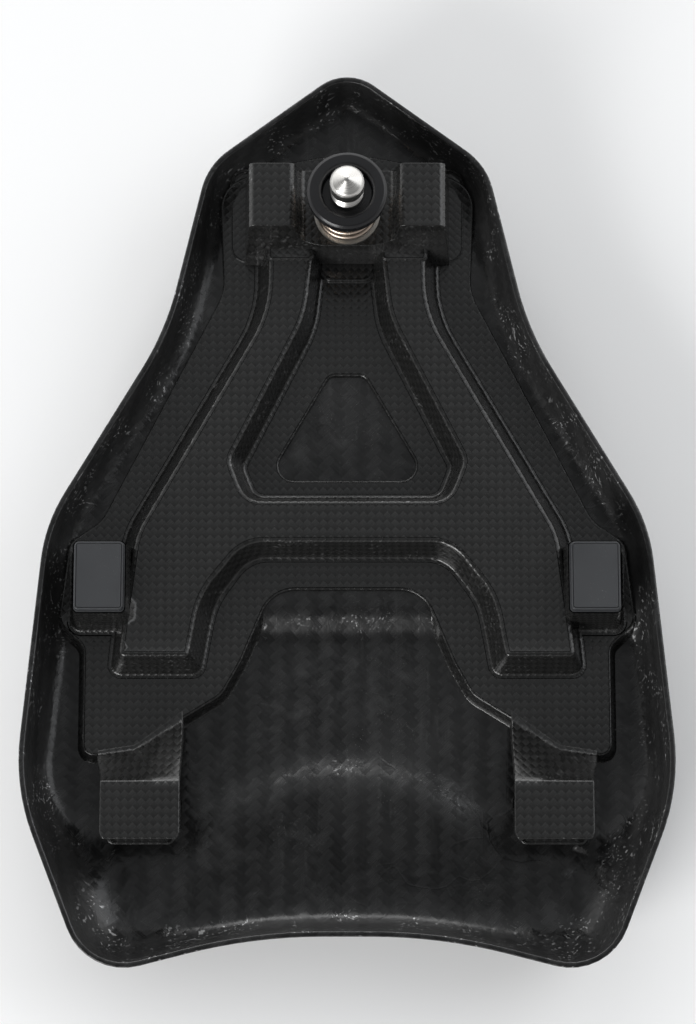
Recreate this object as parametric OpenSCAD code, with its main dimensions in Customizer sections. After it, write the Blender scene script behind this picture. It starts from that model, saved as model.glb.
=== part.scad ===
// Underside-up race seat unit: carbon shell, bonded inner frame, sprung latch pin, hook tongues and pad.
// X is across the seat, +Y points to the tail, +Z points out of the underside. The pad rests at z = 0.

/* [Shell] */
// Overall length of the shell, front corners to tail tip
shell_l = 319; // [300:1:390]
// Overall width of the shell at its widest
shell_w = 227; // [222:1:275]
// Thickness of the shell laminate
shell_t = 2; // [1.5:0.1:3]
// Half width at the tail shoulders
shoulder_x = 50; // [44:0.5:56]
// Distance from the tail tip's corner to the shoulders
tail_l = 37; // [30:0.5:45]
// Half width at the waist behind the latch
waist_x = 64.5; // [58:0.5:72]
// Distance from the shoulders to the waist
waist_gap = 61.5; // [50:0.5:72]
// Distance from the waist to the hips
hip_gap = 70; // [60:0.5:80]
// How much narrower the hips are than the widest point, each side
hip_step = 9; // [4:0.5:14]
// Distance from the front corners back to the widest point
side_gap = 66; // [50:0.5:80]
// Half distance between the front corners
corner_x = 89; // [80:0.5:98]
// How far the front edge is scooped back between its corners
scoop = 14.5; // [8:0.5:20]
// Half width of the straight part of the scoop
scoop_x = 32; // [24:0.5:40]
// Radii of the front scoop, front corner, side, hip, waist, shoulder and tail tip
edge_r = [190, 21, 75, 59, 105, 25, 16];
// How far the rounded front and tail corners stop short of their sharp points
corner_cut = 4; // [3:0.5:5]
// Rim height above the flange of the inner frame
rim_h = 14; // [10:0.5:20]
// How far the rim wall leans out between its foot and its edge
rim_lean = 2.5; // [2:0.5:6]
// Drop of the seat floor in front of the cross beam
floor_drop = 6; // [4:0.5:9]
// Height of the stiffening swell behind the front edge
swell_h = 4; // [2:0.5:6]

/* [Pad] */
// Thickness of the foam core at its thinnest
foam_t = 13; // [8:0.5:20]
// Thickness of the stitched cover
cover_t = 1.2; // [0.8:0.1:2.5]
// Distance from the shell's edge to the pad
pad_inset = 13; // [9:0.5:20]
// Rounding at the pad's crown edge
pad_round = 5; // [3:0.5:8]
// Adhesive line between bonded pieces
bond_t = 0.1; // [0.05:0.05:0.3]

/* [Inner frame] */
// Distance from the tail tip's corner forward to the frame's datum
frame_back = 163.5; // [160:0.5:170]
// Thickness of the frame laminate
frame_t = 1.5; // [1.2:0.1:2.4]
// Height of the hollow ribs above the flange
rib_h = 12; // [9:0.5:16]
// Height of the side bosses above the flange
boss_h = 22; // [16:0.5:28]
// Width of a side boss across the seat
boss_w = 18; // [14:0.5:20]
// Length of a side boss along the seat
boss_l = 25; // [20:0.5:30]
// Distance from the midline to a boss's outer face
boss_x = 95; // [90:0.5:98]
// Rear face of the side bosses
boss_y = -13; // [-20:0.5:-10]

/* [Buffers] */
// Thickness of the rubber buffers
buffer_t = 3; // [2:0.5:6]
// Border of boss left around a buffer
buffer_edge = 0.8; // [0.5:0.1:2]

/* [Latch bridge] */
// Height of the two bridge towers above the flange
tower_h = 30; // [26:0.5:40]
// Height of the latch platform above the flange
platform_h = 18.5; // [17:0.5:22]
// Thickness of the latch platform
platform_t = 3; // [2:0.5:4]
// Half width of the bridge at its foot
bridge_x = 36.8; // [34:0.2:42]
// Half width of the bay between the towers
bay_x = 16.4; // [15.5:0.1:18]
// Front foot of the bridge
bridge_y = 93; // [90:0.5:96]
// Length of the bridge along the seat at its foot
bridge_l = 31; // [28:0.5:36]
// Wall thickness of the bridge
bridge_t = 2; // [1.5:0.1:3]

/* [Latch] */
// Distance from the frame's datum back to the latch pin
pin_y = 107; // [105:0.5:109]
// Diameter of the pin's head and shank
pin_d = 12; // [10:0.1:14.4]
// Diameter of the pin's neck
neck_d = 8; // [6:0.1:9]
// Diameter of the threaded stud under the shank
stud_d = 8; // [6:0.5:10]
// Height of the pin's tip above the platform
pin_h = 41; // [38:0.5:50]
// Room between the pin and the wall of the cup's counterbore
cup_room = 3; // [2.9:0.1:4]
// Wall of the cup's body outside its counterbore
cup_wall = 1.75; // [1.5:0.05:2.5]
// Width of the cup's rim beyond its body
cup_brim = 3.25; // [2.5:0.25:4]
// Depth of the cup's counterbore
cup_depth = 5.5; // [5:0.5:8]
// Thickness of the cup's floor
cup_floor = 3.5; // [2.5:0.5:5]
// Thickness of the cup's rim
cup_rim = 4.5; // [3:0.5:6]
// Radial running clearance of the cup on the shank
run_gap = 0.08; // [0.04:0.01:0.1]
// Travel of the cup towards the platform
cup_travel = 7; // [4:0.5:7]
// Working length of the spring at rest
spring_l = 17.5; // [16:0.5:24]
// Wire diameter of the spring
wire_d = 2; // [1.5:0.1:2.2]
// Turns of the spring, ends included
spring_turns = 4; // [3:0.5:5]
// Thickness of the spring washer
washer_t = 1; // [0.8:0.1:2]
// Thickness of the circlip
clip_t = 1; // [0.8:0.1:1.5]

/* [Hook tongues] */
// Inner edge of a tongue
tongue_x = 57.5; // [54:0.5:60]
// Width of a tongue
tongue_w = 27.5; // [22:0.5:30]
// Rear edge of the tongue's flat
tongue_y = -96; // [-100:0.5:-94]
// Length of the tongue's flat
tongue_l = 20; // [16:0.5:22]
// Height of the tongue's upper face above the flange
tongue_h = 18; // [15:0.5:22]
// Thickness of the tongue laminate
tongue_t = 2.2; // [1.8:0.1:3]
// Height of the slot under the tongue
slot_h = 6.3; // [5:0.1:8]

/* [Hidden] */
$fn = 64;

// Heights
floor_low = foam_t + cover_t + 2 * bond_t + shell_t;
floor_top = floor_low + floor_drop;
flange_z = floor_top + bond_t + frame_t;
rim_z = flange_z + rim_h;
platform_z = flange_z + platform_h;
spring_z = platform_z + washer_t;
seat_z = spring_z + spring_l;
cup_bore_z = seat_z + cup_floor;
cup_top = cup_bore_z + cup_depth;

// Radii of the cup, which the spring and its washer follow
counter_r = pin_d / 2 + cup_room;
cup_body_r = counter_r + cup_wall;
cup_rim_r = cup_body_r + cup_brim;

// Small running values
gap = 0.3;
over = 1;
stud_gap = 0.1;
arc_steps = 6;

// Colours
carbon = [0.10, 0.10, 0.11];
frame_carbon = [0.14, 0.14, 0.15];
rubber = [0.20, 0.20, 0.21];
steel = [0.78, 0.78, 0.80];
zinc = [0.62, 0.60, 0.55];
anodised = [0.05, 0.05, 0.06];
copper_steel = [0.62, 0.50, 0.42];

// ---- Outlines: counter-clockwise corners [x, y, radius], rounded by arcs and moved in by an inset ----
function unit(v) = v / norm(v);
function flat(p) = [p[0], p[1]];
function inward(a, b) = let (d = unit(b - a)) [-d[1], d[0]];
function corner_arc(a, b, c, r, inset) =
    let (
        u = unit(b - a),
        v = unit(c - b),
        side = u[0] * v[1] - u[1] * v[0] >= 0 ? 1 : -1,
        bend = acos(min(1, u * v)),
        in_a = inward(a, b),
        in_b = inward(b, c),
        p = b + inset * (in_a + in_b) / (1 + in_a * in_b),
        rr = max(0.2, r - side * inset),
        start = p - rr * tan(bend / 2) * u,
        centre = start + side * rr * in_a,
        from = atan2(start[1] - centre[1], start[0] - centre[0])
    )
    [for (i = [0 : arc_steps])
        let (t = from + side * bend * i / arc_steps)
        centre + rr * [cos(t), sin(t)]];
// Straights longer than the step are cut into shorter stretches, in the same number at any inset
function outline(corners, inset = 0, step = 1000) =
    let (
        n = len(corners),
        arcs = [for (i = [0 : n - 1])
            corner_arc(flat(corners[(i + n - 1) % n]), flat(corners[i]),
                flat(corners[(i + 1) % n]), corners[i][2], inset)]
    )
    [for (i = [0 : n - 1])
        let (
            from = arcs[i][arc_steps],
            to = arcs[(i + 1) % n][0],
            cuts = floor(norm(flat(corners[(i + 1) % n]) - flat(corners[i])) / step)
        )
        each concat(arcs[i], [for (k = [1 : 1 : cuts]) from + (to - from) * k / (cuts + 1)])];
function mirrored(half) = [for (i = [len(half) - 1 : -1 : 0]) [-half[i][0], half[i][1], half[i][2]]];
function both_sides(half, tip = []) = concat(half, tip, mirrored(half));

// ---- Shell outline, from the front scoop round the right side to the tail ----
tail_y = shell_l / 2 + corner_cut;
frame_y = tail_y - frame_back;
front_y = -shell_l / 2 - corner_cut;
side_x = shell_w / 2 + 1.4;
shoulder_y = tail_y - tail_l;
waist_y = shoulder_y - waist_gap;
hip_y = waist_y - hip_gap;
shell_half = [
    [scoop_x, front_y + scoop, edge_r[0]],
    [corner_x, front_y, edge_r[1]],
    [side_x, front_y + side_gap, edge_r[2]],
    [side_x - hip_step, hip_y, edge_r[3]],
    [waist_x, waist_y, edge_r[4]],
    [shoulder_x, shoulder_y, edge_r[5]]];
shell_edge = both_sides(shell_half, [[0, tail_y, edge_r[6]]]);

// ---- Seat floor: level under the frame, lower in front, with a swell behind the front edge ----
drop_y = [frame_y - 45, frame_y - 31];
swell_y = front_y + 40;
swell_half = [56, 32];
function ease(t) = let (c = max(0, min(1, t))) c * c * (3 - 2 * c);
function bump(t) = abs(t) >= 1 ? 0 : pow(1 - t * t, 2);
function floor_z(p) = floor_low + floor_drop * ease((p[1] - drop_y[0]) / (drop_y[1] - drop_y[0]))
    + swell_h * bump(p[0] / swell_half[0]) * bump((p[1] - swell_y) / swell_half[1]);

// ---- Solids skinned over closed rings with equal point counts ----
// Quads are split along the same diagonal whether the rings run outwards or back, so that faces nest
floor_hub = [0, -10];
function reach(ring) = norm(flat(ring[0]) - floor_hub);
module skin(rings) {
    n = len(rings[0]);
    m = len(rings);
    points = [for (ring = rings) each ring];
    sides = [for (j = [0 : m - 2]) for (i = [0 : n - 1])
        let (a = j * n + i, b = j * n + (i + 1) % n)
        each reach(rings[j + 1]) < reach(rings[j])
            ? [[a, a + n, b], [a + n, b + n, b]]
            : [[a, a + n, b + n], [a, b + n, b]]];
    first = [[for (i = [0 : n - 1]) i]];
    last = [[for (i = [n - 1 : -1 : 0]) (m - 1) * n + i]];
    polyhedron(points, concat(first, sides, last), convexity = 6);
}
function lift(ring, z) = [for (p = ring) [p[0], p[1], z]];
function drape(ring, dz) = [for (p = ring) [p[0], p[1], floor_z(p) + dz]];
function shrink(ring, s) = [for (p = ring) floor_hub + s * (p - floor_hub)];
shell_step = 16;
function rim_line(inset = 0) = outline(shell_edge, inset, shell_step);
floor_steps = [0.03, 0.13, 0.22, 0.3, 0.38, 0.47, 0.57, 0.67, 0.77, 0.87, 0.96];
foam_inset = pad_inset + cover_t + bond_t;
// Plan rings of the floor from the hub out to the pad's edge, the last but one along the foam
floor_rings = concat([for (s = floor_steps) shrink(rim_line(pad_inset), s)],
    [rim_line(foam_inset), rim_line(pad_inset)]);
foam_rings = len(floor_rings) - 2;

module outer_shell() {
    foot = 2;
    inside = concat(
        [for (ring = floor_rings) drape(ring, 0)],
        [drape(rim_line(rim_lean + shell_t + foot), 0),
        drape(rim_line(rim_lean + shell_t), foot),
        lift(rim_line(shell_t), rim_z)]);
    outside = concat(
        [lift(rim_line(), rim_z),
        drape(rim_line(rim_lean), foot - shell_t / 2),
        drape(rim_line(rim_lean + foot), -shell_t)],
        [for (i = [len(floor_rings) - 1 : -1 : 0]) drape(floor_rings[i], -shell_t)]);
    color(carbon) skin(concat(inside, outside));
}

// ---- Pad: foam core in a stitched cover, following the shell above and flat on its crown ----
module pad_foam() {
    base = cover_t + bond_t;
    color("dimgray") skin(concat(
        [for (i = [0 : foam_rings]) drape(floor_rings[i], -shell_t - bond_t)],
        [lift(rim_line(foam_inset), base + pad_round),
        lift(rim_line(foam_inset + pad_round), base)]));
}
module pad_cover() {
    inner = rim_line(pad_inset + cover_t);
    outer = rim_line(pad_inset);
    color([0.13, 0.13, 0.14]) skin([
        lift(rim_line(pad_inset + cover_t + pad_round), cover_t),
        lift(inner, cover_t + pad_round),
        drape(inner, -shell_t - bond_t),
        drape(outer, -shell_t - bond_t),
        lift(outer, pad_round),
        lift(rim_line(pad_inset + pad_round), 0)]);
}

// Everything but the shell and the pad is placed from the frame's datum
module on_frame() {
    translate([0, frame_y, 0]) children();
}

// ---- Inner frame: a base plate with feet, and the moulding of hollow ribs and side bosses on it ----
foot_x = 92.7;
foot_y = -85.3;
flange_half = [
    [26.5, -25.8, 10], [37.5, -52, 30], [44, -63.5, 8], [57, -71.5, 5], [74, -83, 6],
    [foot_x, foot_y, 4], [foot_x, -46, 6], [boss_x + 6.8, -38, 6], [boss_x + 3.3, -9, 7], [87, -1, 14],
    [44.3, 83, 20], [45.9, 121, 12], [30, 130, 30]];
flange_edge = both_sides(flange_half, [[0, 135.6, 60]]);
window_edge = both_sides([[28.5, 13.6, 5.5], [6.2, 52, 3.5]]);
rib_end = bridge_y - bond_t;
rib_half = [
    [36, -11.3, 14], [51, -30, 30], [55, -52, 2], [80, -52, 2],
    [74.5, -8, 30], [28.4, 73, 45], [28.2, rib_end, 0.5]];
rib_edge = both_sides(rib_half);
pocket_edge = both_sides([[35.5, 4.2, 8], [41, 18.5, 6], [14.5, 71, 40], [11.5, rib_end + over, 0.5]]);
foot_half = [[44, -63.5, 6], [57, -71.5, 5], [74, -83, 6], [foot_x, foot_y, 4], [foot_x, -54, 4], [42, -54, 4]];

ribs_z = flange_z + bond_t;
module slab(z, h) {
    translate([0, 0, z]) linear_extrude(h) children();
}
module rib_plan(wall) {
    difference() {
        polygon(outline(rib_edge, wall));
        polygon(outline(pocket_edge, -wall));
    }
}
module boss(side) {
    x = side > 0 ? boss_x - boss_w : -boss_x;
    difference() {
        translate([x, boss_y - boss_l, ribs_z])
            cube([boss_w, boss_l, flange_z + boss_h - ribs_z]);
        translate([x + frame_t, boss_y - boss_l + frame_t, ribs_z - over])
            cube([boss_w - 2 * frame_t, boss_l - 2 * frame_t, flange_z + boss_h - ribs_z - frame_t + over]);
    }
}
module foot_skirt(side) {
    low = floor_low + bond_t;
    mirror([side > 0 ? 0 : 1, 0, 0])
        slab(low, flange_z - frame_t - low + frame_t / 2) difference() {
            polygon(outline(foot_half));
            polygon(outline(foot_half, frame_t));
        }
}
module frame_base() {
    color(frame_carbon) on_frame() {
        slab(flange_z - frame_t, frame_t) difference() {
            polygon(outline(flange_edge));
            polygon(outline(window_edge));
        }
        for (side = [-1, 1]) foot_skirt(side);
    }
}
module frame_ribs() {
    top = flange_z + rib_h;
    color(frame_carbon) on_frame() {
        difference() {
            slab(ribs_z, top - ribs_z) rib_plan(0);
            slab(ribs_z - over, top - ribs_z - frame_t + over) rib_plan(frame_t);
        }
        for (side = [-1, 1]) boss(side);
    }
}

// ---- Rubber buffers on the side bosses ----
module buffer(side) {
    w = boss_w - 2 * buffer_edge;
    l = boss_l - 2 * buffer_edge;
    x = side * (boss_x - boss_w / 2);
    r = 1.5;
    pad = [[w / 2, -l / 2, r], [w / 2, l / 2, r], [-w / 2, l / 2, r], [-w / 2, -l / 2, r]];
    color(rubber) on_frame() translate([x, boss_y - boss_l / 2, 0])
        slab(flange_z + boss_h + bond_t, buffer_t) polygon(outline(pad));
}
module buffer_left() { buffer(-1); }
module buffer_right() { buffer(1); }

// ---- Latch bridge: a hollow moulding with two towers and the latch platform between them ----
tower_lean = 2.2;
front_lean = 6;
rear_lean = 2;
module bridge_block(wall, top) {
    low = wall > 0 ? -over : 0;
    x_out = bridge_x - wall;
    x_in = bay_x + wall;
    plan = [[x_out, low], [x_out - tower_lean, tower_h - wall], [x_in + tower_lean, tower_h - wall],
        [x_in, top], [-x_in, top], [-x_in - tower_lean, tower_h - wall],
        [-x_out + tower_lean, tower_h - wall], [-x_out, low]];
    rear = bridge_y + bridge_l - wall;
    profile = [[bridge_y + wall, low], [rear, low],
        [rear - rear_lean, tower_h], [bridge_y + wall + front_lean, tower_h]];
    intersection() {
        translate([0, bridge_y + bridge_l + over, 0]) rotate([90, 0, 0])
            linear_extrude(bridge_l + 2 * over) polygon(plan);
        translate([-bridge_x - over, 0, 0]) rotate([90, 0, 90])
            linear_extrude(2 * bridge_x + 2 * over) polygon(profile);
    }
}
insert_d = stud_d + 6;
module latch_bridge() {
    lip = 5;
    lip_t = 1.2;
    lip_x = 10;
    color(frame_carbon) on_frame() translate([0, 0, flange_z + bond_t]) difference() {
        union() {
            bridge_block(0, platform_h - bond_t);
            translate([-bridge_x - lip, bridge_y + over, 0])
                cube([2 * (bridge_x + lip), bridge_l - over, lip_t]);
            translate([-bridge_x, bridge_y + bridge_l - over, 0])
                cube([2 * bridge_x, lip, lip_t]);
            translate([-lip_x, bridge_y - lip, 0])
                cube([2 * lip_x, lip + over, lip_t]);
        }
        bridge_block(bridge_t, platform_h - bond_t - platform_t);
        translate([0, pin_y, 0]) cylinder(h = tower_h, d = insert_d + stud_gap);
    }
}

// ---- Latch hardware, all on the pin axis ----
shank_top = cup_top - 2;
neck_l = 6;
head_z = shank_top + neck_l;
module on_pin() {
    on_frame() translate([0, pin_y, 0]) children();
}
module washer(z, od, id, t) {
    on_pin() difference() {
        translate([0, 0, z]) cylinder(h = t, d = od);
        translate([0, 0, z - over]) cylinder(h = t + 2 * over, d = id);
    }
}
backing_t = 2;
lock_t = 1.6;
nut_t = 6.5;
stud_end = 1.5;
stud_bottom = platform_z - platform_t - backing_t - lock_t - nut_t - stud_end;
groove_z = cup_bore_z + gap;
groove_depth = 0.5;
groove_slack = 0.05;
module latch_pin() {
    r = pin_d / 2;
    nr = neck_d / 2;
    sr = stud_d / 2;
    gr = r - groove_depth;
    taper = r - nr;
    tip_z = platform_z + pin_h;
    tip_r = 2;
    cone = 3.5;
    color(steel) on_pin() rotate_extrude() polygon([
        [0, stud_bottom], [sr - 0.6, stud_bottom], [sr, stud_bottom + 0.6], [sr, platform_z],
        [r, platform_z], [r, groove_z], [gr, groove_z], [gr, groove_z + clip_t + groove_slack],
        [r, groove_z + clip_t + groove_slack], [r, shank_top],
        [nr, shank_top + taper / 2], [nr, head_z - taper / 2], [r, head_z],
        [r, tip_z - cone], [tip_r, tip_z], [0, tip_z]]);
}
module spring_cup() {
    bore_r = pin_d / 2 + run_gap;
    edge = 0.8;
    under = cup_top - cup_rim;
    color(anodised) on_pin() rotate_extrude() polygon([
        [bore_r, seat_z], [cup_body_r, seat_z], [cup_body_r, under], [cup_rim_r, under],
        [cup_rim_r, cup_top - edge], [cup_rim_r - edge, cup_top], [counter_r + edge, cup_top],
        [counter_r, cup_top - edge], [counter_r, cup_bore_z], [bore_r, cup_bore_z]]);
}
module cup_circlip() {
    clip_w = cup_room - 0.1;
    mouth = 50;
    inner = pin_d / 2 - groove_depth + groove_slack;
    color(zinc) on_pin() translate([0, 0, groove_z + groove_slack / 2])
        rotate([0, 0, 90 + mouth / 2]) rotate_extrude(angle = 360 - mouth)
            translate([inner, 0]) square([clip_w, clip_t]);
}
module latch_spring() {
    sides = 8;
    per_turn = 16;
    wr = wire_d / 2;
    mean_r = cup_body_r - wr;
    rise = spring_l - wire_d - gap;
    turns = min(spring_turns, (spring_l - cup_travel) / wire_d - 1);
    n = round(turns * per_turn);
    // Half a turn lies flat at each end
    function climb(t) = max(0, min(1, (t * turns - 0.5) / (turns - 1)));
    rings = [for (i = [0 : n])
        let (t = i / n, a = 360 * turns * t, z = spring_z + wr + rise * climb(t))
        [for (j = [0 : sides - 1])
            let (b = 360 * j / sides, d = mean_r + wr * cos(b))
            [d * cos(a), d * sin(a), z + wr * sin(b)]]];
    color(copper_steel) on_pin() skin(rings);
}
module spring_washer() {
    color(zinc) washer(platform_z + bond_t / 2, 2 * cup_body_r + 2, pin_d + 2 * run_gap, washer_t - bond_t);
}
module pin_insert() {
    color(zinc) washer(platform_z - platform_t, insert_d, stud_d + 2 * stud_gap, platform_t - bond_t / 2);
}
module backing_plate() {
    x = 15;
    y = 8.5;
    r = 3;
    plate = [[x, -y, r], [x, y, r], [-x, y, r], [-x, -y, r]];
    color(zinc) on_pin() slab(platform_z - platform_t - backing_t, backing_t - bond_t / 2) difference() {
        polygon(outline(plate));
        circle(d = stud_d + 2 * stud_gap);
    }
}
module lock_washer() {
    slit = 12;
    z = platform_z - platform_t - backing_t - lock_t;
    color(zinc) on_pin() translate([0, 0, z]) rotate_extrude(angle = 360 - slit)
        translate([stud_d / 2 + stud_gap, 0]) square([3, lock_t - bond_t / 2]);
}
module pin_nut() {
    across = stud_d * 1.8;
    z = platform_z - platform_t - backing_t - lock_t - nut_t;
    color(zinc) on_pin() difference() {
        translate([0, 0, z]) cylinder(h = nut_t - bond_t / 2, d = across, $fn = 6);
        translate([0, 0, z - over]) cylinder(h = nut_t + 2 * over, d = stud_d + stud_gap);
    }
}

// ---- Hook tongues: a ramp from the frame's foot up to a flat over an open slot ----
ramp_y = -72;
tab_l = 5;
function tongue_profile() =
    let (
        low = flange_z + bond_t,
        high = flange_z + tongue_h,
        front = tongue_y - tongue_l
    )
    [[ramp_y + tab_l, low], [ramp_y + tab_l, low + tongue_t], [ramp_y, low + tongue_t],
    [tongue_y, high], [front, high], [front, high - tongue_t],
    [tongue_y + over, high - tongue_t], [ramp_y - over, low]];
module tongue(side) {
    x = side > 0 ? tongue_x : -tongue_x - tongue_w;
    color(frame_carbon) on_frame() translate([x, 0, 0]) rotate([90, 0, 90])
        linear_extrude(tongue_w) polygon(tongue_profile());
}
module tongue_left() { tongue(-1); }
module tongue_right() { tongue(1); }
module tongue_foot(side) {
    inset = 2;
    low = floor_low + bond_t;
    high = flange_z + tongue_h - tongue_t - slot_h;
    x = side > 0 ? tongue_x + inset : -tongue_x - tongue_w + inset;
    color(frame_carbon) on_frame() difference() {
        translate([x, tongue_y - tongue_l - over, low])
            cube([tongue_w - 2 * inset, tongue_l, high - low]);
        translate([x + frame_t, tongue_y - tongue_l - over + frame_t, low - over])
            cube([tongue_w - 2 * inset - 2 * frame_t, tongue_l - 2 * frame_t, high - low + over - frame_t]);
    }
}
module tongue_foot_left() { tongue_foot(-1); }
module tongue_foot_right() { tongue_foot(1); }

outer_shell();
frame_base();
frame_ribs();
latch_bridge();
tongue_left();
tongue_right();
tongue_foot_left();
tongue_foot_right();
buffer_left();
buffer_right();
latch_pin();
spring_cup();
cup_circlip();
latch_spring();
spring_washer();
pin_insert();
backing_plate();
pin_nut();
lock_washer();
pad_foam();
pad_cover();
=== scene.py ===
import math

import bmesh
import bpy
import numpy as np
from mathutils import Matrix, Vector, geometry
from mathutils.bvhtree import BVHTree


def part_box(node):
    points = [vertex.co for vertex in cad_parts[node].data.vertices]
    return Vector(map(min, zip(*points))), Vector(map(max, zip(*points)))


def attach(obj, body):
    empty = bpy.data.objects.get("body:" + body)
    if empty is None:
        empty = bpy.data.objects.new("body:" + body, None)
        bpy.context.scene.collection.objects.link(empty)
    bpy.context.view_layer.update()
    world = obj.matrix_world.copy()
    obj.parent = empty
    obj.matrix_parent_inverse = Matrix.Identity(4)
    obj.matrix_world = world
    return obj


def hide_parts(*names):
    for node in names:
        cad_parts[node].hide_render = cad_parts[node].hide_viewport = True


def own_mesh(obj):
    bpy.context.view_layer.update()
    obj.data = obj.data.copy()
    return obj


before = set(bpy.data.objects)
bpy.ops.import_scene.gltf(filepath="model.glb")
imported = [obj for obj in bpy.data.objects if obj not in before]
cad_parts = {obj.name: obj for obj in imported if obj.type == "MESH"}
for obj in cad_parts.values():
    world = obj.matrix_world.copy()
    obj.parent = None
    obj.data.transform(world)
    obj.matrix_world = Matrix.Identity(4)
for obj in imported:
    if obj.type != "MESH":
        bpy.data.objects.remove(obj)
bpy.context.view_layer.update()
print("frame loaded with", len(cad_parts), "nodes")

mm = 0.001


def span(node):  # a CAD node's lowest and highest corner, in millimetres
    low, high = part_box(node)
    return np.array(low) / mm, np.array(high) / mm


# where the CAD puts things, in millimetres
shellLow, shellHigh = span("outer_shell")
baseHigh = span("frame_base")[1]
ribsHigh = span("frame_ribs")[1]
bridgeLow, bridgeHigh = span("latch_bridge")
pinLow, pinHigh = span("latch_pin")
cupLow, cupHigh = span("spring_cup")
springLow, springHigh = span("latch_spring")
washerLow = span("spring_washer")[0]
bufferLow, bufferHigh = span("buffer_right")
tongueLow, tongueHigh = span("tongue_right")
hookLow, hookHigh = span("tongue_foot_right")
pinX = (pinLow[0] + pinHigh[0]) / 2
pinY = (pinLow[1] + pinHigh[1]) / 2


# camera, floor and light
camera = {
    "target": (0.0003, 0.0022, 0.024),
    "elevation": 78,  # degrees above the horizon, from the front edge's side
    "distance": 1.2,
    "lens": 118.9,
}
studio = {
    "floorSize": 8,
    "floorTone": (0.86, 0.86, 0.86, 1),
    "skyLow": (1.0, 1.0, 1.0, 1),
    "skyHigh": (0.25, 0.255, 0.26, 1),
    "skyTail": (-0.12, 0.5, 0.5, 1.5),  # from and to along the seat, and how bright the sky is at each
    "skyStrength": 1.6,
    "skyStops": (0.05, 0.75),  # heights between which the sky darkens
    "aim": (0, 0, 0.02),
    "lamps": (  # name, place, size, power, tone
        ("keyLight", (-1.0, -1.35, 0.85), (1.1, 0.7), 30, (1, 1, 1)),
        ("fillLight", (1.3, 0.5, 1.2), (1.2, 1.2), 7, (0.95, 0.97, 1.0)),
        ("tailLight", (-0.2, 1.5, 0.9), (1.4, 0.5), 8, (1, 1, 1)),
    ),
}


def makeCamera():
    data = bpy.data.cameras.new("viewCamera")
    data.lens = camera["lens"]
    data.sensor_width = 36
    data.clip_start = 0.05
    data.clip_end = 50
    cam = bpy.data.objects.new("viewCamera", data)
    bpy.context.scene.collection.objects.link(cam)
    tilt = math.radians(camera["elevation"])
    back = Vector((0, -math.cos(tilt), math.sin(tilt)))
    cam.location = Vector(camera["target"]) + back * camera["distance"]
    cam.rotation_euler = (-back).to_track_quat("-Z", "Y").to_euler()
    bpy.context.scene.camera = cam


def makeArea(name, place, size, power, tone):
    data = bpy.data.lights.new(name, "AREA")
    data.shape = "RECTANGLE"
    data.size = size[0]
    data.size_y = size[1]
    data.energy = power
    data.color = tone
    lamp = bpy.data.objects.new(name, data)
    bpy.context.scene.collection.objects.link(lamp)
    lamp.location = place
    lamp.rotation_euler = (Vector(studio["aim"]) - Vector(place)).to_track_quat("-Z", "Y").to_euler()


def makeStudio():
    world = bpy.data.worlds.new("studioSky")
    bpy.context.scene.world = world
    world.use_nodes = True
    tree = world.node_tree
    back = tree.nodes["Background"]
    back.inputs["Strength"].default_value = studio["skyStrength"]
    where = tree.nodes.new("ShaderNodeTexCoord")
    split = tree.nodes.new("ShaderNodeSeparateXYZ")
    ramp = tree.nodes.new("ShaderNodeValToRGB")
    for stop, position, tone in zip(ramp.color_ramp.elements, studio["skyStops"], ("skyLow", "skyHigh")):
        stop.position = position
        stop.color = studio[tone]
    tailward = tree.nodes.new("ShaderNodeMapRange")
    for key, value in zip((1, 2, 3, 4), studio["skyTail"]):
        tailward.inputs[key].default_value = value
    scaled = tree.nodes.new("ShaderNodeVectorMath")
    scaled.operation = "SCALE"
    tree.links.new(where.outputs["Generated"], split.inputs[0])
    tree.links.new(split.outputs["Z"], ramp.inputs[0])
    tree.links.new(split.outputs["Y"], tailward.inputs[0])
    tree.links.new(ramp.outputs[0], scaled.inputs[0])
    tree.links.new(tailward.outputs[0], scaled.inputs["Scale"])
    tree.links.new(scaled.outputs[0], back.inputs["Color"])
    for lamp in studio["lamps"]:
        makeArea(*lamp)
    bpy.ops.mesh.primitive_plane_add(size=studio["floorSize"])
    floor = bpy.context.object
    floor.name = "studioFloor"
    material = bpy.data.materials.new("paperFloor")
    material.use_nodes = True
    shader = material.node_tree.nodes["Principled BSDF"]
    shader.inputs["Base Color"].default_value = studio["floorTone"]
    shader.inputs["Roughness"].default_value = 0.9
    shader.inputs["Specular IOR Level"].default_value = 0.2
    floor.data.materials.append(material)
    bpy.context.scene.view_settings.view_transform = "Standard"


makeCamera()
makeStudio()
print("camera and studio made")


# outlines: counter-clockwise corners (x, y, radius), rounded and moved in by an inset
def unit(v):
    return v / np.linalg.norm(v)


def cornerArc(a, b, c, radius, inset, steps):
    u = unit(b - a)
    v = unit(c - b)
    side = 1 if u[0] * v[1] - u[1] * v[0] >= 0 else -1
    bend = math.acos(min(1.0, float(u @ v)))
    inA = np.array([-u[1], u[0]])
    inB = np.array([-v[1], v[0]])
    point = b + inset * (inA + inB) / (1 + inA @ inB)
    r = max(0.2, radius - side * inset)
    start = point - r * math.tan(bend / 2) * u
    centre = start + side * r * inA
    first = math.atan2(start[1] - centre[1], start[0] - centre[0])
    turns = first + side * bend * np.linspace(0, 1, steps + 1)
    return centre + r * np.stack([np.cos(turns), np.sin(turns)], 1)


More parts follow.
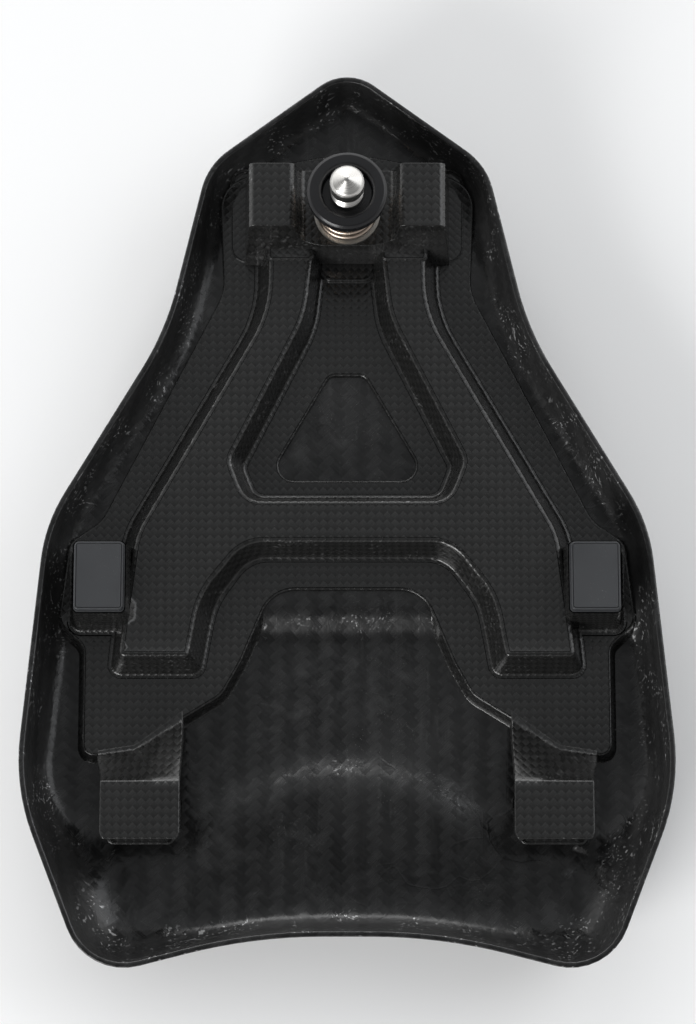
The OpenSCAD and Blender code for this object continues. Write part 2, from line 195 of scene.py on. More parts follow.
def outline(corners, inset=0.0, step=5.0, steps=8, like=None):  # "like" lends its point count
    plan = [np.array(c[:2], float) for c in corners]
    model = [np.array(c[:2], float) for c in like or corners]
    count = len(plan)
    arcs = []
    for i in range(count):
        arcs.append(cornerArc(plan[i - 1], plan[i], plan[(i + 1) % count], corners[i][2], inset, steps))
    rows = []
    for i in range(count):
        start = arcs[i][-1]
        end = arcs[(i + 1) % count][0]
        cuts = int(np.linalg.norm(model[(i + 1) % count] - model[i]) / step)
        share = np.arange(1, cuts + 1)[:, None] / (cuts + 1)
        rows += [arcs[i], start + (end - start) * share]
    return np.concatenate(rows)


def bothSides(half, tip=()):
    return [*half, *tip, *[(-x, y, r) for x, y, r in reversed(half)]]


def plate(x0, x1, y0, y1, r):  # a rectangle's corners
    return [(x0, y0, r), (x1, y0, r), (x1, y1, r), (x0, y1, r)]


def atHeight(points, z):
    return np.column_stack([points, np.broadcast_to(z, len(points))])


def edgeDistance(points, loop):  # distance of plan points to a closed line
    a = loop
    d = np.roll(loop, -1, axis=0) - a
    lengths = np.maximum((d * d).sum(1), 1e-9)
    best = np.full(len(points), 1e9)
    for start, way, length in zip(a, d, lengths):
        t = np.clip(((points - start) @ way) / length, 0, 1)
        best = np.minimum(best, np.hypot(*(points - start - t[:, None] * way).T))
    return best


def insideLoop(points, loop):
    x, y = points.T
    inside = np.zeros(len(points), bool)
    for (ax, ay), (bx, by) in zip(loop, np.roll(loop, -1, axis=0)):
        if ay == by:
            continue
        crosses = (ay > y) != (by > y)
        inside ^= crosses & (x < ax + (y - ay) * (bx - ax) / (by - ay))
    return inside


def ease(t):
    c = np.clip(t, 0, 1)
    return c * c * (3 - 2 * c)


# mesh building
class Skin:  # faces gathered from strips and filled areas, with an unrolled "weave" map
    def __init__(self):
        self.points = []
        self.faces = []
        self.maps = []

    def strip(self, rings, maps=None, closed=True):
        start = sum(len(p) for p in self.points)
        count = len(rings[0])
        self.points += [np.asarray(r, float) for r in rings]
        maps = maps if maps is not None else unrolled(rings)
        last = count if closed else count - 1
        for j in range(len(rings) - 1):
            for i in range(last):
                k = (i + 1) % count
                self.faces.append((start + j * count + i, start + (j + 1) * count + i,
                                   start + (j + 1) * count + k, start + j * count + k))
                self.maps.append((maps[j][i], maps[j + 1][i], maps[j + 1][k], maps[j][k]))

    def fill(self, outer, holes, height, grid, up=True):
        loops = [outer, *holes]
        edges = []
        start = 0
        for loop in loops:
            edges += [(start + i, start + (i + 1) % len(loop)) for i in range(len(loop))]
            start += len(loop)
        low = outer.min(0) + grid / 2
        high = outer.max(0)
        xs, ys = np.meshgrid(np.arange(low[0], high[0], grid), np.arange(low[1], high[1], grid))
        inner = np.column_stack([xs.ravel(), ys.ravel()])
        inner = inner[insideLoop(inner, outer)]
        for loop in loops:
            inner = inner[edgeDistance(inner, loop) > grid * 0.45]
        for hole in holes:
            inner = inner[~insideLoop(inner, hole)]
        plan = np.concatenate([*loops, inner])
        made = geometry.delaunay_2d_cdt([Vector(p) for p in plan], edges, [], 0, 1e-6)
        flat = np.array([tuple(p) for p in made[0]])
        tris = np.array(made[2])
        middle = flat[tris].mean(1)
        keep = insideLoop(middle, outer)
        for hole in holes:
            keep &= ~insideLoop(middle, hole)
        first = sum(len(p) for p in self.points)
        self.points.append(np.column_stack([flat, height(flat)]))
        for tri in tris[keep]:
            a, b, c = flat[tri]
            turn = (b[0] - a[0]) * (c[1] - a[1]) - (b[1] - a[1]) * (c[0] - a[0])
            if (turn > 0) != up:
                tri = tri[::-1]
            self.faces.append(tuple(first + tri))
            self.maps.append(tuple(flat[i] for i in tri))

    def cap(self, ring, up=True):
        start = sum(len(p) for p in self.points)
        ring = np.asarray(ring, float)
        self.points.append(ring)
        order = list(range(len(ring)))
        if not up:
            order.reverse()
        self.faces.append(tuple(start + i for i in order))
        self.maps.append(tuple(ring[i][:2] for i in order))

    def build(self, name, material, merge=0.002):
        mesh = bpy.data.meshes.new(name)
        points = np.concatenate(self.points) * mm
        mesh.from_pydata([tuple(p) for p in points], [], self.faces)
        layer = mesh.uv_layers.new(name="weave")
        flat = np.concatenate([np.asarray(m, float).reshape(-1, 2) for m in self.maps])
        layer.data.foreach_set("uv", (flat * mm).astype(np.float32).ravel())
        work = bmesh.new()
        work.from_mesh(mesh)
        bmesh.ops.remove_doubles(work, verts=work.verts, dist=merge * mm)
        loose = [v for v in work.verts if not v.link_faces]
        bmesh.ops.delete(work, geom=loose, context="VERTS")
        work.to_mesh(mesh)
        work.free()
        return place(name, mesh, material)


def unrolled(rings):  # plan position on the first ring, then outwards by the length walked
    first = np.asarray(rings[0], float)
    last = np.asarray(rings[-1], float)
    way = last[:, :2] - first[:, :2]
    size = np.maximum(np.hypot(*way.T), 1e-6)[:, None]
    way = way / size
    walked = np.zeros(len(first))
    maps = [first[:, :2]]
    for before, after in zip(rings, rings[1:]):
        walked = walked + np.linalg.norm(np.asarray(after) - np.asarray(before), axis=1)
        maps.append(first[:, :2] + way * walked[:, None])
    return maps


def place(name, mesh, material):
    piece = bpy.data.objects.new(name, mesh)
    bpy.context.scene.collection.objects.link(piece)
    mesh.shade_smooth()
    if material is not None:
        mesh.materials.append(material)
    return piece


def weightNormals(piece):
    modifier = piece.modifiers.new("weightedNormals", "WEIGHTED_NORMAL")
    modifier.weight = 60
    modifier.keep_sharp = True
    return piece


def applyModifiers(piece):
    graph = bpy.context.evaluated_depsgraph_get()
    made = bpy.data.meshes.new_from_object(piece.evaluated_get(graph))
    piece.modifiers.clear()
    piece.data = made
    return piece


def readPoints(mesh):
    flat = np.empty(len(mesh.vertices) * 3)
    mesh.vertices.foreach_get("co", flat)
    return flat.reshape(-1, 3) / mm


def writePoints(mesh, points):
    mesh.vertices.foreach_set("co", (points * mm).ravel())
    mesh.update()


def wrapMap(piece):  # weave map laid flat on each face's own side
    mesh = piece.data
    layer = mesh.uv_layers.get("weave") or mesh.uv_layers.new(name="weave")
    for face in mesh.polygons:
        n = face.normal
        steep = abs(n.z) < 0.62
        alongX = abs(n.y) > abs(n.x)
        for loop in face.loop_indices:
            p = mesh.vertices[mesh.loops[loop].vertex_index].co
            if not steep:
                layer.data[loop].uv = (p.x, p.y)
            elif alongX:
                layer.data[loop].uv = (p.x, p.z * 0.5)  # the cloth stretches where it drapes down a wall
            else:
                layer.data[loop].uv = (p.z * 0.5, p.y)
    return piece


def lathe(name, profile, material, steps=96, centre=(pinX, pinY)):
    profile = np.asarray(profile, float)
    turns = np.linspace(0, 2 * math.pi, steps, endpoint=False)
    rings = []
    for r, z in profile:
        rings.append(np.column_stack([centre[0] + r * np.cos(turns), centre[1] + r * np.sin(turns),
                                      np.full(steps, z)]))
    skin = Skin()
    skin.strip(rings)
    return skin.build(name, material, merge=0.0005)


def rounded(profile, radius, cuts=3):  # a profile's sharp corners turned into small arcs
    points = [np.array(p, float) for p in profile]
    out = [points[0]]
    for before, point, after in zip(points, points[1:], points[2:]):
        r = min(radius, np.linalg.norm(point - before) / 2.2, np.linalg.norm(after - point) / 2.2)
        a = point + unit(before - point) * r
        b = point + unit(after - point) * r
        for t in np.linspace(0, 1, cuts + 1):
            out.append((1 - t) ** 2 * a + 2 * t * (1 - t) * point + t * t * b)
    return [*out, points[-1]]


def finishPiece(piece, body, slot, *replaced):
    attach(piece, body)
    if replaced:
        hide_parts(*replaced)
    return piece


# shader helpers and shared effects
def add(tree, kind, sockets=None, **settings):
    node = tree.nodes.new(kind)
    for key, value in settings.items():
        setattr(node, key, value)
    for key, value in (sockets or {}).items():
        if isinstance(value, bpy.types.NodeSocket):
            tree.links.new(value, node.inputs[key])
        else:
            node.inputs[key].default_value = value
    return node


def calc(tree, operation, a, b=0.0, clamp=False):
    return add(tree, "ShaderNodeMath", {0: a, 1: b}, operation=operation, use_clamp=clamp).outputs[0]


def times(tree, a, b):
    return calc(tree, "MULTIPLY", a, b)


def plus(tree, a, b):
    return calc(tree, "ADD", a, b)


def minus(tree, a, b):
    return calc(tree, "SUBTRACT", a, b)


def clouds(tree, scale, detail, where=None):
    sockets = {"Scale": scale, "Detail": detail}
    if where is not None:
        sockets["Vector"] = where
    return add(tree, "ShaderNodeTexNoise", sockets)


def blendColour(tree, share, a, b):
    node = add(tree, "ShaderNodeMix", {0: share, 6: a, 7: b}, data_type="RGBA")
    return node.outputs[2]


def remap(tree, value, low, high, toLow=0.0, toHigh=1.0):
    return add(tree, "ShaderNodeMapRange", {0: value, 1: low, 2: high, 3: toLow, 4: toHigh}).outputs[0]


def newGroup(name, inputs, outputs):
    group = bpy.data.node_groups.new(name, "ShaderNodeTree")
    for socketName, kind, value in inputs:
        socket = group.interface.new_socket(name=socketName, in_out="INPUT", socket_type=kind)
        if value is not None:
            socket.default_value = value
    for socketName, kind in outputs:
        group.interface.new_socket(name=socketName, in_out="OUTPUT", socket_type=kind)
    return group, group.nodes.new("NodeGroupInput").outputs, group.nodes.new("NodeGroupOutput").inputs


def wovenCloth():  # flat tows crossing at 45 degrees, over one or more tows at a time
    group, given, out = newGroup(
        "wovenCloth",
        [("Map", "NodeSocketVector", None), ("Tow", "NodeSocketFloat", 0.002),
         ("Float", "NodeSocketFloat", 1.0), ("Wander", "NodeSocketFloat", 0.05)],
        [("Height", "NodeSocketFloat"), ("Warp", "NodeSocketFloat"), ("Fibre", "NodeSocketFloat")])
    drift = clouds(group, 90.0, 1.0, given["Map"])
    offset = times(group, minus(group, drift.outputs[0], 0.5), given["Wander"])
    split = add(group, "ShaderNodeSeparateXYZ", {0: given["Map"]})
    size = times(group, given["Tow"], 1.41421)
    u = calc(group, "DIVIDE", plus(group, split.outputs[0], split.outputs[1]), size)
    v = calc(group, "DIVIDE", minus(group, split.outputs[1], split.outputs[0]), size)
    u = plus(group, u, times(group, offset, 8.0))
    v = minus(group, v, times(group, offset, 7.0))
    fu = calc(group, "FRACT", u)
    fv = calc(group, "FRACT", v)
    step = minus(group, calc(group, "FLOOR", u), calc(group, "FLOOR", v))
    period = times(group, given["Float"], 2.0)
    place4 = calc(group, "FLOORED_MODULO", step, period)
    warp = calc(group, "LESS_THAN", place4, minus(group, given["Float"], 0.5))

    def crown(value):
        centred = minus(group, times(group, value, 2.0), 1.0)
        return minus(group, 1.0, times(group, centred, centred))

    along = calc(group, "DIVIDE", plus(group, place4, fu), given["Float"])
    back = minus(group, minus(group, period, 1.0), place4)
    across = calc(group, "DIVIDE", plus(group, back, fv), given["Float"])
    over = plus(group, times(group, crown(fv), 0.55),
                times(group, crown(along), 0.45))
    under = plus(group, times(group, crown(fu), 0.55),
                 times(group, crown(across), 0.45))
    mixed = add(group, "ShaderNodeMix", {0: warp, 2: under, 3: over}, data_type="FLOAT")
    threads = add(group, "ShaderNodeMix", {0: warp, 2: fu, 3: fv}, data_type="FLOAT").outputs[0]
    spread = times(group, threads, 9.0)
    strand = add(group, "ShaderNodeCombineXYZ", {0: spread, 1: warp, 2: step}).outputs[0]
    strands = clouds(group, 1.3, 2.0, strand)
    group.links.new(mixed.outputs[0], out["Height"])
    group.links.new(warp, out["Warp"])
    group.links.new(strands.outputs[0], out["Fibre"])
    return group


def streaks(group, where, ways, along, detail, edges):  # thin lines, each way a turn and a stretch
    total = None
    for turn, stretch in ways:
        mapping = add(group, "ShaderNodeMapping",
                      {"Vector": where, "Rotation": (0, 0, turn), "Scale": (stretch, *along)})
        line = remap(group, clouds(group, 1.0, detail, mapping.outputs[0]).outputs[0], *edges)
        total = line if total is None else calc(group, "MAXIMUM", total, line)
    return total


def resinFilm():  # the wrinkled resin left by the bagging film, worst on the slopes, with pale flecks that are painted glints
    group, given, out = newGroup(
        "resinFilm",
        [("Scale", "NodeSocketFloat", 26.0), ("Wrinkles", "NodeSocketFloat", 1.0)],
        [("Height", "NodeSocketFloat"), ("PaintedGlints", "NodeSocketFloat"), ("Smears", "NodeSocketFloat"),
         ("Slope", "NodeSocketFloat")])
    where = add(group, "ShaderNodeTexCoord").outputs["Object"]
    normal = add(group, "ShaderNodeNewGeometry").outputs["Normal"]
    facing = add(group, "ShaderNodeSeparateXYZ", {0: normal})
    slope = remap(group, facing.outputs[2], 0.985, 0.8, 0.3, 1.0)
    inside = remap(group, facing.outputs[2], 0.02, 0.1)  # the moulded outer face is smooth
    bend = clouds(group, given["Scale"], 3.0, where)
    shift = add(group, "ShaderNodeVectorMath", {0: bend.outputs["Color"], 1: (0.03, 0.03, 0.03)},
                operation="MULTIPLY")
    moved = add(group, "ShaderNodeVectorMath", {0: where, 1: shift.outputs[0]}, operation="ADD")
    folds = add(group, "ShaderNodeTexVoronoi", {"Vector": moved.outputs[0], "Scale": 75.0},
                feature="DISTANCE_TO_EDGE")
    ridges = remap(group, folds.outputs["Distance"], 0.0, 0.03, 1.0, 0.0)
    patches = clouds(group, 22.0, 2.0, where)
    mask = remap(group, patches.outputs[0], 0.56, 0.66)
    fine = clouds(group, 170.0, 3.0, moved.outputs[0])
    slow = clouds(group, 42.0, 2.0, where)
    crinkle = times(group, times(group, fine.outputs[0], slope), 1.1)
    creases = times(group, times(group, ridges, mask), 0.12)
    folded = plus(group, creases, crinkle)
    amount = times(group, given["Wrinkles"], inside)
    folded = times(group, folded, amount)
    height = plus(group, folded, times(group, slow.outputs[0], 0.5))
    # painted glints: pale flecks in the colour standing in for glints on the resin wrinkles, most on the
    # slopes
    specks = clouds(group, 800.0, 2.0, moved.outputs[0])
    tiny = remap(group, specks.outputs[0], 0.6, 0.68)
    clusters = clouds(group, 75.0, 3.0, where).outputs[0]
    rare = remap(group, plus(group, clusters, times(group, slope, 0.09)), 0.55, 0.7)
    glintSpots = times(group, times(group, tiny, rare), amount)
    glintSpots = times(group, glintSpots, remap(group, slope, 0.3, 0.75, 0.04, 1.0))
    smears = streaks(group, where, ((0.9, 330), (-0.7, 420), (1.75, 260)), (38, 60), 4.0, (0.55, 0.75))
    cloud = clouds(group, 34.0, 4.0, where).outputs[0]
    blotches = remap(group, cloud, 0.42, 0.66)
    mottle = clouds(group, 120.0, 5.0, moved.outputs[0])
    patchy = remap(group, mottle.outputs[0], 0.48, 0.75, 0.0, 0.8)
    patchy = calc(group, "MAXIMUM", patchy, remap(group, cloud, 0.5, 0.75, 0.0, 0.6))
    smears = calc(group, "MAXIMUM", times(group, smears, blotches), patchy)
    smears = times(group, smears, amount)
    group.links.new(height, out["Height"])
    group.links.new(glintSpots, out["PaintedGlints"])
    group.links.new(smears, out["Smears"])
    group.links.new(times(group, remap(group, facing.outputs[2], 0.97, 0.7), amount), out["Slope"])
    return group


def handledSurface():  # fine scratches, dust and finger marks
    group, given, out = newGroup(
        "handledSurface",
        [("Scratches", "NodeSocketFloat", 1.0), ("Dust", "NodeSocketFloat", 1.0)],
        [("Height", "NodeSocketFloat"), ("Dust", "NodeSocketFloat"), ("Marks", "NodeSocketFloat")])
    where = add(group, "ShaderNodeTexCoord").outputs["Object"]
    total = streaks(group, where, ((0.5, 700), (1.7, 900), (2.6, 600)), (14, 14), 1.0, (0.71, 0.76))
    grains = add(group, "ShaderNodeTexVoronoi", {"Vector": where, "Scale": 900.0})
    grain = remap(group, grains.outputs["Distance"], 0.06, 0.12, 1.0, 0.0)
    cloud = clouds(group, 38.0, 4.0, where)
    dusty = times(group, grain, remap(group, cloud.outputs[0], 0.52, 0.7))
    group.links.new(times(group, total, given["Scratches"]), out["Height"])
    group.links.new(times(group, dusty, given["Dust"]), out["Dust"])
    group.links.new(cloud.outputs[0], out["Marks"])
    return group


def edgeWear():  # paler where a convex edge has rubbed
    group, given, out = newGroup(
        "edgeWear", [("Amount", "NodeSocketFloat", 1.0)],
        [("Mask", "NodeSocketFloat")])
    point = add(group, "ShaderNodeNewGeometry").outputs["Pointiness"]
    noise = clouds(group, 300.0, 3.0)
    rough = times(group, noise.outputs[0], 0.06)
    edge = remap(group, plus(group, point, rough), 0.56, 0.62)
    group.links.new(times(group, edge, given["Amount"]), out["Mask"])
    return group


groups = {make.__name__: make() for make in (wovenCloth, resinFilm, handledSurface, edgeWear)}


def useGroup(tree, name, sockets=None):
    return add(tree, "ShaderNodeGroup", sockets, node_tree=groups[name]).outputs


def startMaterial(name, **constants):
    material = bpy.data.materials.new(name)
    material.use_nodes = True
    shader = material.node_tree.nodes["Principled BSDF"]
    for key, value in constants.items():
        shader.inputs[key.replace("_", " ")].default_value = value
    return material, material.node_tree


def dressed(material, colour, surface, rough=None):  # feeds the shader
    tree = material.node_tree
    inputs = tree.nodes["Principled BSDF"].inputs
    tree.links.new(colour, inputs["Base Color"])
    tree.links.new(surface, inputs["Normal"])
    if rough is not None:
        tree.links.new(rough, inputs["Roughness"])
    return material


def bumped(tree, height, strength, distance, normal=None):
    node = add(tree, "ShaderNodeBump", {"Height": height, "Strength": strength, "Distance": distance})
    if normal is not None:
        tree.links.new(normal, node.inputs["Normal"])
    return node.outputs[0]


def carbon(name, look):
    material, tree = startMaterial(name, Coat_Weight=look["coat"], Coat_Roughness=look["gloss"],
                                   Coat_IOR=1.5, Metallic=look["metal"], Specular_IOR_Level=0.5)
    weaveMap = add(tree, "ShaderNodeUVMap", uv_map="weave").outputs[0]
    cloth = useGroup(tree, "wovenCloth", {"Map": weaveMap, "Tow": look["tow"], "Float": look["over"],
                                          "Wander": look["wander"]})
    film = useGroup(tree, "resinFilm", {"Wrinkles": look["wrinkles"]})
    used = useGroup(tree, "handledSurface", {"Scratches": look["scratches"], "Dust": look["dust"]})
    wear = useGroup(tree, "edgeWear", {"Amount": look["wear"]})["Mask"]
    shade = blendColour(tree, cloth["Warp"], look["weft"], look["warp"])
    shade = blendColour(tree, remap(tree, cloth["Height"], 0.0, 0.3, look["gapDark"], 0.0), shade,
                        look["gap"])
    shade = blendColour(tree, remap(tree, cloth["Fibre"], 0.4, 0.75, 0.0, 0.4), shade, look["bright"])
    shade = blendColour(tree, wear, shade, look["worn"])
    # pale haze from the resin smears, plus painted light: steep walls made paler through the slope mask
    smearsAndWallLight = times(tree, film["Smears"], look["smear"])
    smearsAndWallLight = calc(tree, "MAXIMUM", smearsAndWallLight, times(tree, film["Slope"], 0.5))
    shade = blendColour(tree, smearsAndWallLight, shade, look["smearAndWallLightTone"])
    # painted glints: pale flecks blended into the colour
    shade = blendColour(tree, film["PaintedGlints"], shade, look["glintTone"])
    shade = blendColour(tree, used["Dust"], shade, (0.3, 0.29, 0.28, 1))
    tows = times(tree, minus(tree, cloth["Warp"], 0.5), look["glossStep"])
    rough = remap(tree, cloth["Fibre"], 0.3, 0.7, look["rough"] - 0.04, look["rough"] + 0.04)
    rough = plus(tree, plus(tree, rough, tows), times(tree, film["Smears"], 0.12))
    rough = plus(tree, rough, times(tree, film["Slope"], 0.2))
    surface = bumped(tree, cloth["Height"], look["clothBump"], look["tow"] * 0.16)
    surface = bumped(tree, film["Height"], look["filmBump"], 0.0006, surface)
    surface = bumped(tree, film["Smears"], look["smear"] * 0.5, 0.0002, surface)
    surface = bumped(tree, used["Height"], 0.15, 0.00005, surface)
    return dressed(material, shade, surface, rough)


frameLook = {
    "tow": 0.002, "over": 1.0, "wander": 0.05, "coat": 0.3, "gloss": 0.08, "metal": 0.5, "rough": 0.24,
    "weft": (0.0105, 0.0105, 0.0102, 1), "warp": (0.0175, 0.0175, 0.0172, 1),
    "gap": (0.004, 0.004, 0.004, 1),
    "bright": (0.036, 0.036, 0.035, 1), "worn": (0.06, 0.06, 0.06, 1), "glintTone": (0.3, 0.3, 0.3, 1),
    "gapDark": 0.7, "glossStep": 0.1, "clothBump": 0.34, "wrinkles": 0.3, "filmBump": 0.14,
    "scratches": 0.5, "dust": 0.35, "wear": 0.5, "smear": 0.5, "smearAndWallLightTone": (0.035, 0.035, 0.034, 1),
}
shellLook = {
    "tow": 0.003, "over": 2.0, "wander": 0.03, "coat": 0.12, "gloss": 0.06, "metal": 0.5, "rough": 0.2,
    "weft": (0.0085, 0.0085, 0.0085, 1), "warp": (0.0165, 0.0165, 0.0165, 1),
    "gap": (0.004, 0.004, 0.004, 1),
    "bright": (0.03, 0.03, 0.03, 1), "worn": (0.04, 0.04, 0.04, 1), "glintTone": (0.36, 0.36, 0.36, 1),
    "gapDark": 0.6, "glossStep": 0.06, "clothBump": 0.12, "wrinkles": 1.0, "filmBump": 0.75,
    "scratches": 1.0, "dust": 0.5, "wear": 0.1, "smear": 0.6, "smearAndWallLightTone": (0.05, 0.05, 0.05, 1),
}


def rubber():
    material, tree = startMaterial("bufferRubber", Specular_IOR_Level=0.42, Roughness=0.5)
    used = useGroup(tree, "handledSurface", {"Scratches": 0.6, "Dust": 1.0})
    grain = clouds(tree, 1400.0, 3.0).outputs[0]
    shade = blendColour(tree, used["Marks"], (0.022, 0.023, 0.025, 1), (0.034, 0.036, 0.039, 1))
    shade = blendColour(tree, used["Dust"], shade, (0.25, 0.25, 0.25, 1))
    return dressed(material, shade,
                   bumped(tree, grain, 0.35, 0.0001), remap(tree, used["Marks"], 0.3, 0.7, 0.42, 0.58))


def turnedSteel():
    material, tree = startMaterial("turnedSteel", Metallic=1.0, Roughness=0.22)
    where = add(tree, "ShaderNodeTexCoord").outputs["Object"]
    moved = add(tree, "ShaderNodeVectorMath", {0: where, 1: (pinX * mm, pinY * mm, 0)},
                operation="SUBTRACT")
    flat = add(tree, "ShaderNodeVectorMath", {0: moved.outputs[0], 1: (1, 1, 0)}, operation="MULTIPLY")
    radius = add(tree, "ShaderNodeVectorMath", {0: flat.outputs[0]}, operation="LENGTH").outputs["Value"]
    height = add(tree, "ShaderNodeSeparateXYZ", {0: where}).outputs[2]
    along = plus(tree, radius, height)
    rings = add(tree, "ShaderNodeTexNoise",
                {"W": times(tree, along, 9000.0), "Scale": 1.0, "Detail": 2.0},
                noise_dimensions="1D").outputs[0]
    used = useGroup(tree, "handledSurface", {"Scratches": 1.0, "Dust": 0.4})
    wear = useGroup(tree, "edgeWear", {"Amount": 0.6})["Mask"]
    shade = blendColour(tree, rings, (0.42, 0.41, 0.39, 1), (0.62, 0.61, 0.59, 1))
    shade = blendColour(tree, wear, shade, (0.85, 0.84, 0.82, 1))
    shade = blendColour(tree, used["Dust"], shade, (0.2, 0.19, 0.18, 1))
    return dressed(material, shade,
                   bumped(tree, rings, 0.12, 0.00004), remap(tree, rings, 0.3, 0.7, 0.24, 0.36))


def anodised(name="anodisedBlack", worn=0.5):
    material, tree = startMaterial(name, Metallic=0.2, Roughness=0.3, Specular_IOR_Level=0.4)
    used = useGroup(tree, "handledSurface", {"Scratches": 1.0, "Dust": 0.8})
    wear = useGroup(tree, "edgeWear", {"Amount": worn})["Mask"]
    shade = blendColour(tree, used["Marks"], (0.006, 0.006, 0.007, 1), (0.014, 0.014, 0.015, 1))
    shade = blendColour(tree, wear, shade, (0.3, 0.3, 0.31, 1))
    return dressed(material, shade,
                   bumped(tree, used["Height"], 0.3, 0.00003),
                   remap(tree, used["Marks"], 0.3, 0.7, 0.16, 0.34))


def wireSteel():
    material, tree = startMaterial("springWire", Metallic=1.0, Roughness=0.3)
    used = useGroup(tree, "handledSurface", {"Scratches": 1.0, "Dust": 0.5})
    shade = blendColour(tree, used["Marks"], (0.33, 0.25, 0.19, 1), (0.56, 0.46, 0.38, 1))
    shade = blendColour(tree, useGroup(tree, "edgeWear")["Mask"], shade, (0.6, 0.55, 0.5, 1))
    return dressed(material, shade,
                   bumped(tree, used["Height"], 0.4, 0.00004),
                   remap(tree, used["Marks"], 0.3, 0.7, 0.22, 0.42))


def plated():
    material, tree = startMaterial("zincPlate", Metallic=1.0, Roughness=0.4)
    used = useGroup(tree, "handledSurface", {"Scratches": 0.8, "Dust": 0.8})
    spangle = add(tree, "ShaderNodeTexVoronoi", {"Scale": 520.0}).outputs["Color"]
    tone = blendColour(tree, used["Marks"], (0.3, 0.29, 0.27, 1), (0.5, 0.49, 0.46, 1))
    return dressed(material, blendColour(tree, used["Dust"], tone, (0.18, 0.17, 0.16, 1)),
                   bumped(tree, used["Height"], 0.3, 0.00004), remap(tree, spangle, 0.0, 1.0, 0.3, 0.5))


def suede():
    material, tree = startMaterial("padSuede", Roughness=0.9, Sheen_Weight=0.35, Sheen_Roughness=0.5,
                                   Specular_IOR_Level=0.25)
    nap = clouds(tree, 2600.0, 3.0).outputs[0]
    strokes = clouds(tree, 46.0, 3.0).outputs[0]
    used = useGroup(tree, "handledSurface", {"Scratches": 0.0, "Dust": 1.0})
    shade = blendColour(tree, remap(tree, strokes, 0.35, 0.65),
                        (0.014, 0.014, 0.016, 1), (0.034, 0.034, 0.038, 1))
    shade = blendColour(tree, remap(tree, nap, 0.45, 0.7, 0.0, 0.5), shade, (0.06, 0.06, 0.066, 1))
    shade = blendColour(tree, used["Dust"], shade, (0.2, 0.2, 0.2, 1))
    return dressed(material, shade,
                   bumped(tree, nap, 0.5, 0.00025), remap(tree, strokes, 0.3, 0.7, 0.82, 0.95))


def thread():
    material, tree = startMaterial("stitchThread", Roughness=0.6, Specular_IOR_Level=0.4)
    twist = add(tree, "ShaderNodeTexWave", {"Scale": 900.0, "Distortion": 1.0},
                bands_direction="DIAGONAL").outputs["Fac"]
    shade = blendColour(tree, twist, (0.05, 0.05, 0.055, 1), (0.13, 0.13, 0.14, 1))
    return dressed(material, shade, bumped(tree, twist, 0.5, 0.0001))


def foam():
    material, tree = startMaterial("cellFoam", Roughness=0.95, Specular_IOR_Level=0.2)
    cells = add(tree, "ShaderNodeTexVoronoi", {"Scale": 1500.0}).outputs["Distance"]
    # painted shade: darker towards each cell's middle, where the bump is lowest
    shade = blendColour(tree, remap(tree, cells, 0.1, 0.6), (0.03, 0.03, 0.033, 1), (0.1, 0.1, 0.105, 1))
    return dressed(material, shade, bumped(tree, cells, 0.8, 0.0003))


materials = {
    "frame": carbon("frameCarbon", frameLook),
    "shell": carbon("shellCarbon", shellLook),
    "rubber": rubber(), "steel": turnedSteel(), "black": anodised(),
    "clip": anodised("clipBlack", 0.0), "wire": wireSteel(),
    "zinc": plated(), "suede": suede(), "thread": thread(), "foam": foam(),
}
print("materials made:", len(materials))


# heights of the dish
shell = {
    "half": [(32, -149, 190), (89, -163.5, 21), (114.9, -97.5, 75), (105.9, -5, 59),
             (64.5, 65, 105), (50, 126.5, 25)],
    "tail": [(0, 163.5, 16)],
    "thickness": 2,
    "lip": 2.4,  # how fast the dish dies away from the rim
    "cornerSlope": 1.5,  # how much wider it is at the front corners
    "drop": (-43, -32),  # where the floor steps down ahead of the cross beam
    "swell": (0, -124, 62, 43, 4.3),  # centre, half sizes and height of the swell
    "crest": 0.36,  # share of the swell's size over which it rises
    # where its fall to the front edge starts, over what length, and by what share
    "ebb": (-88, 46, 0.85),
    "outerLip": 1.9,
    "grid": 2.6,
}
shellCorners = bothSides(shell["half"], shell["tail"])
shellLine = outline(shellCorners)
rimZ = shellHigh[2]
floorLow = shellLow[2] + shell["thickness"]
flangeZ = baseHigh[2]
laminate = 1.6
floorHigh = flangeZ - laminate


def floorZ(points):
    x, y = points[:, 0], points[:, 1]
    low, high = shell["drop"]
    sx, sy, wide, long, tall = shell["swell"]
    away = np.hypot((x - sx) / wide, (y - sy) / long)
    ebb, length, share = shell["ebb"]
    raised = tall * ease((1 - away) / shell["crest"]) * (1 - share * ease((ebb - y) / length))
    return floorLow + (floorHigh - floorLow) * ease((y - low) / (high - low)) + raised


def dish(points, distance):  # the inner face at a distance from the shell's edge
    x, y = points[:, 0], points[:, 1]
    corner = ease((np.abs(x) - 48) / 36) * ease((-92 - y) / 40)
    fall = shell["lip"] * (1 + shell["cornerSlope"] * corner)
    ground = floorZ(points)
    return ground + (rimZ - 0.5 - ground) * np.exp(-np.maximum(distance - shell["thickness"], 0) / fall)


def shellZ(points):
    points = np.asarray(points, float)[:, :2]
    return dish(points, edgeDistance(points, shellLine))


def flangeTop(points):
    return np.maximum(flangeZ, shellZ(points) + laminate)


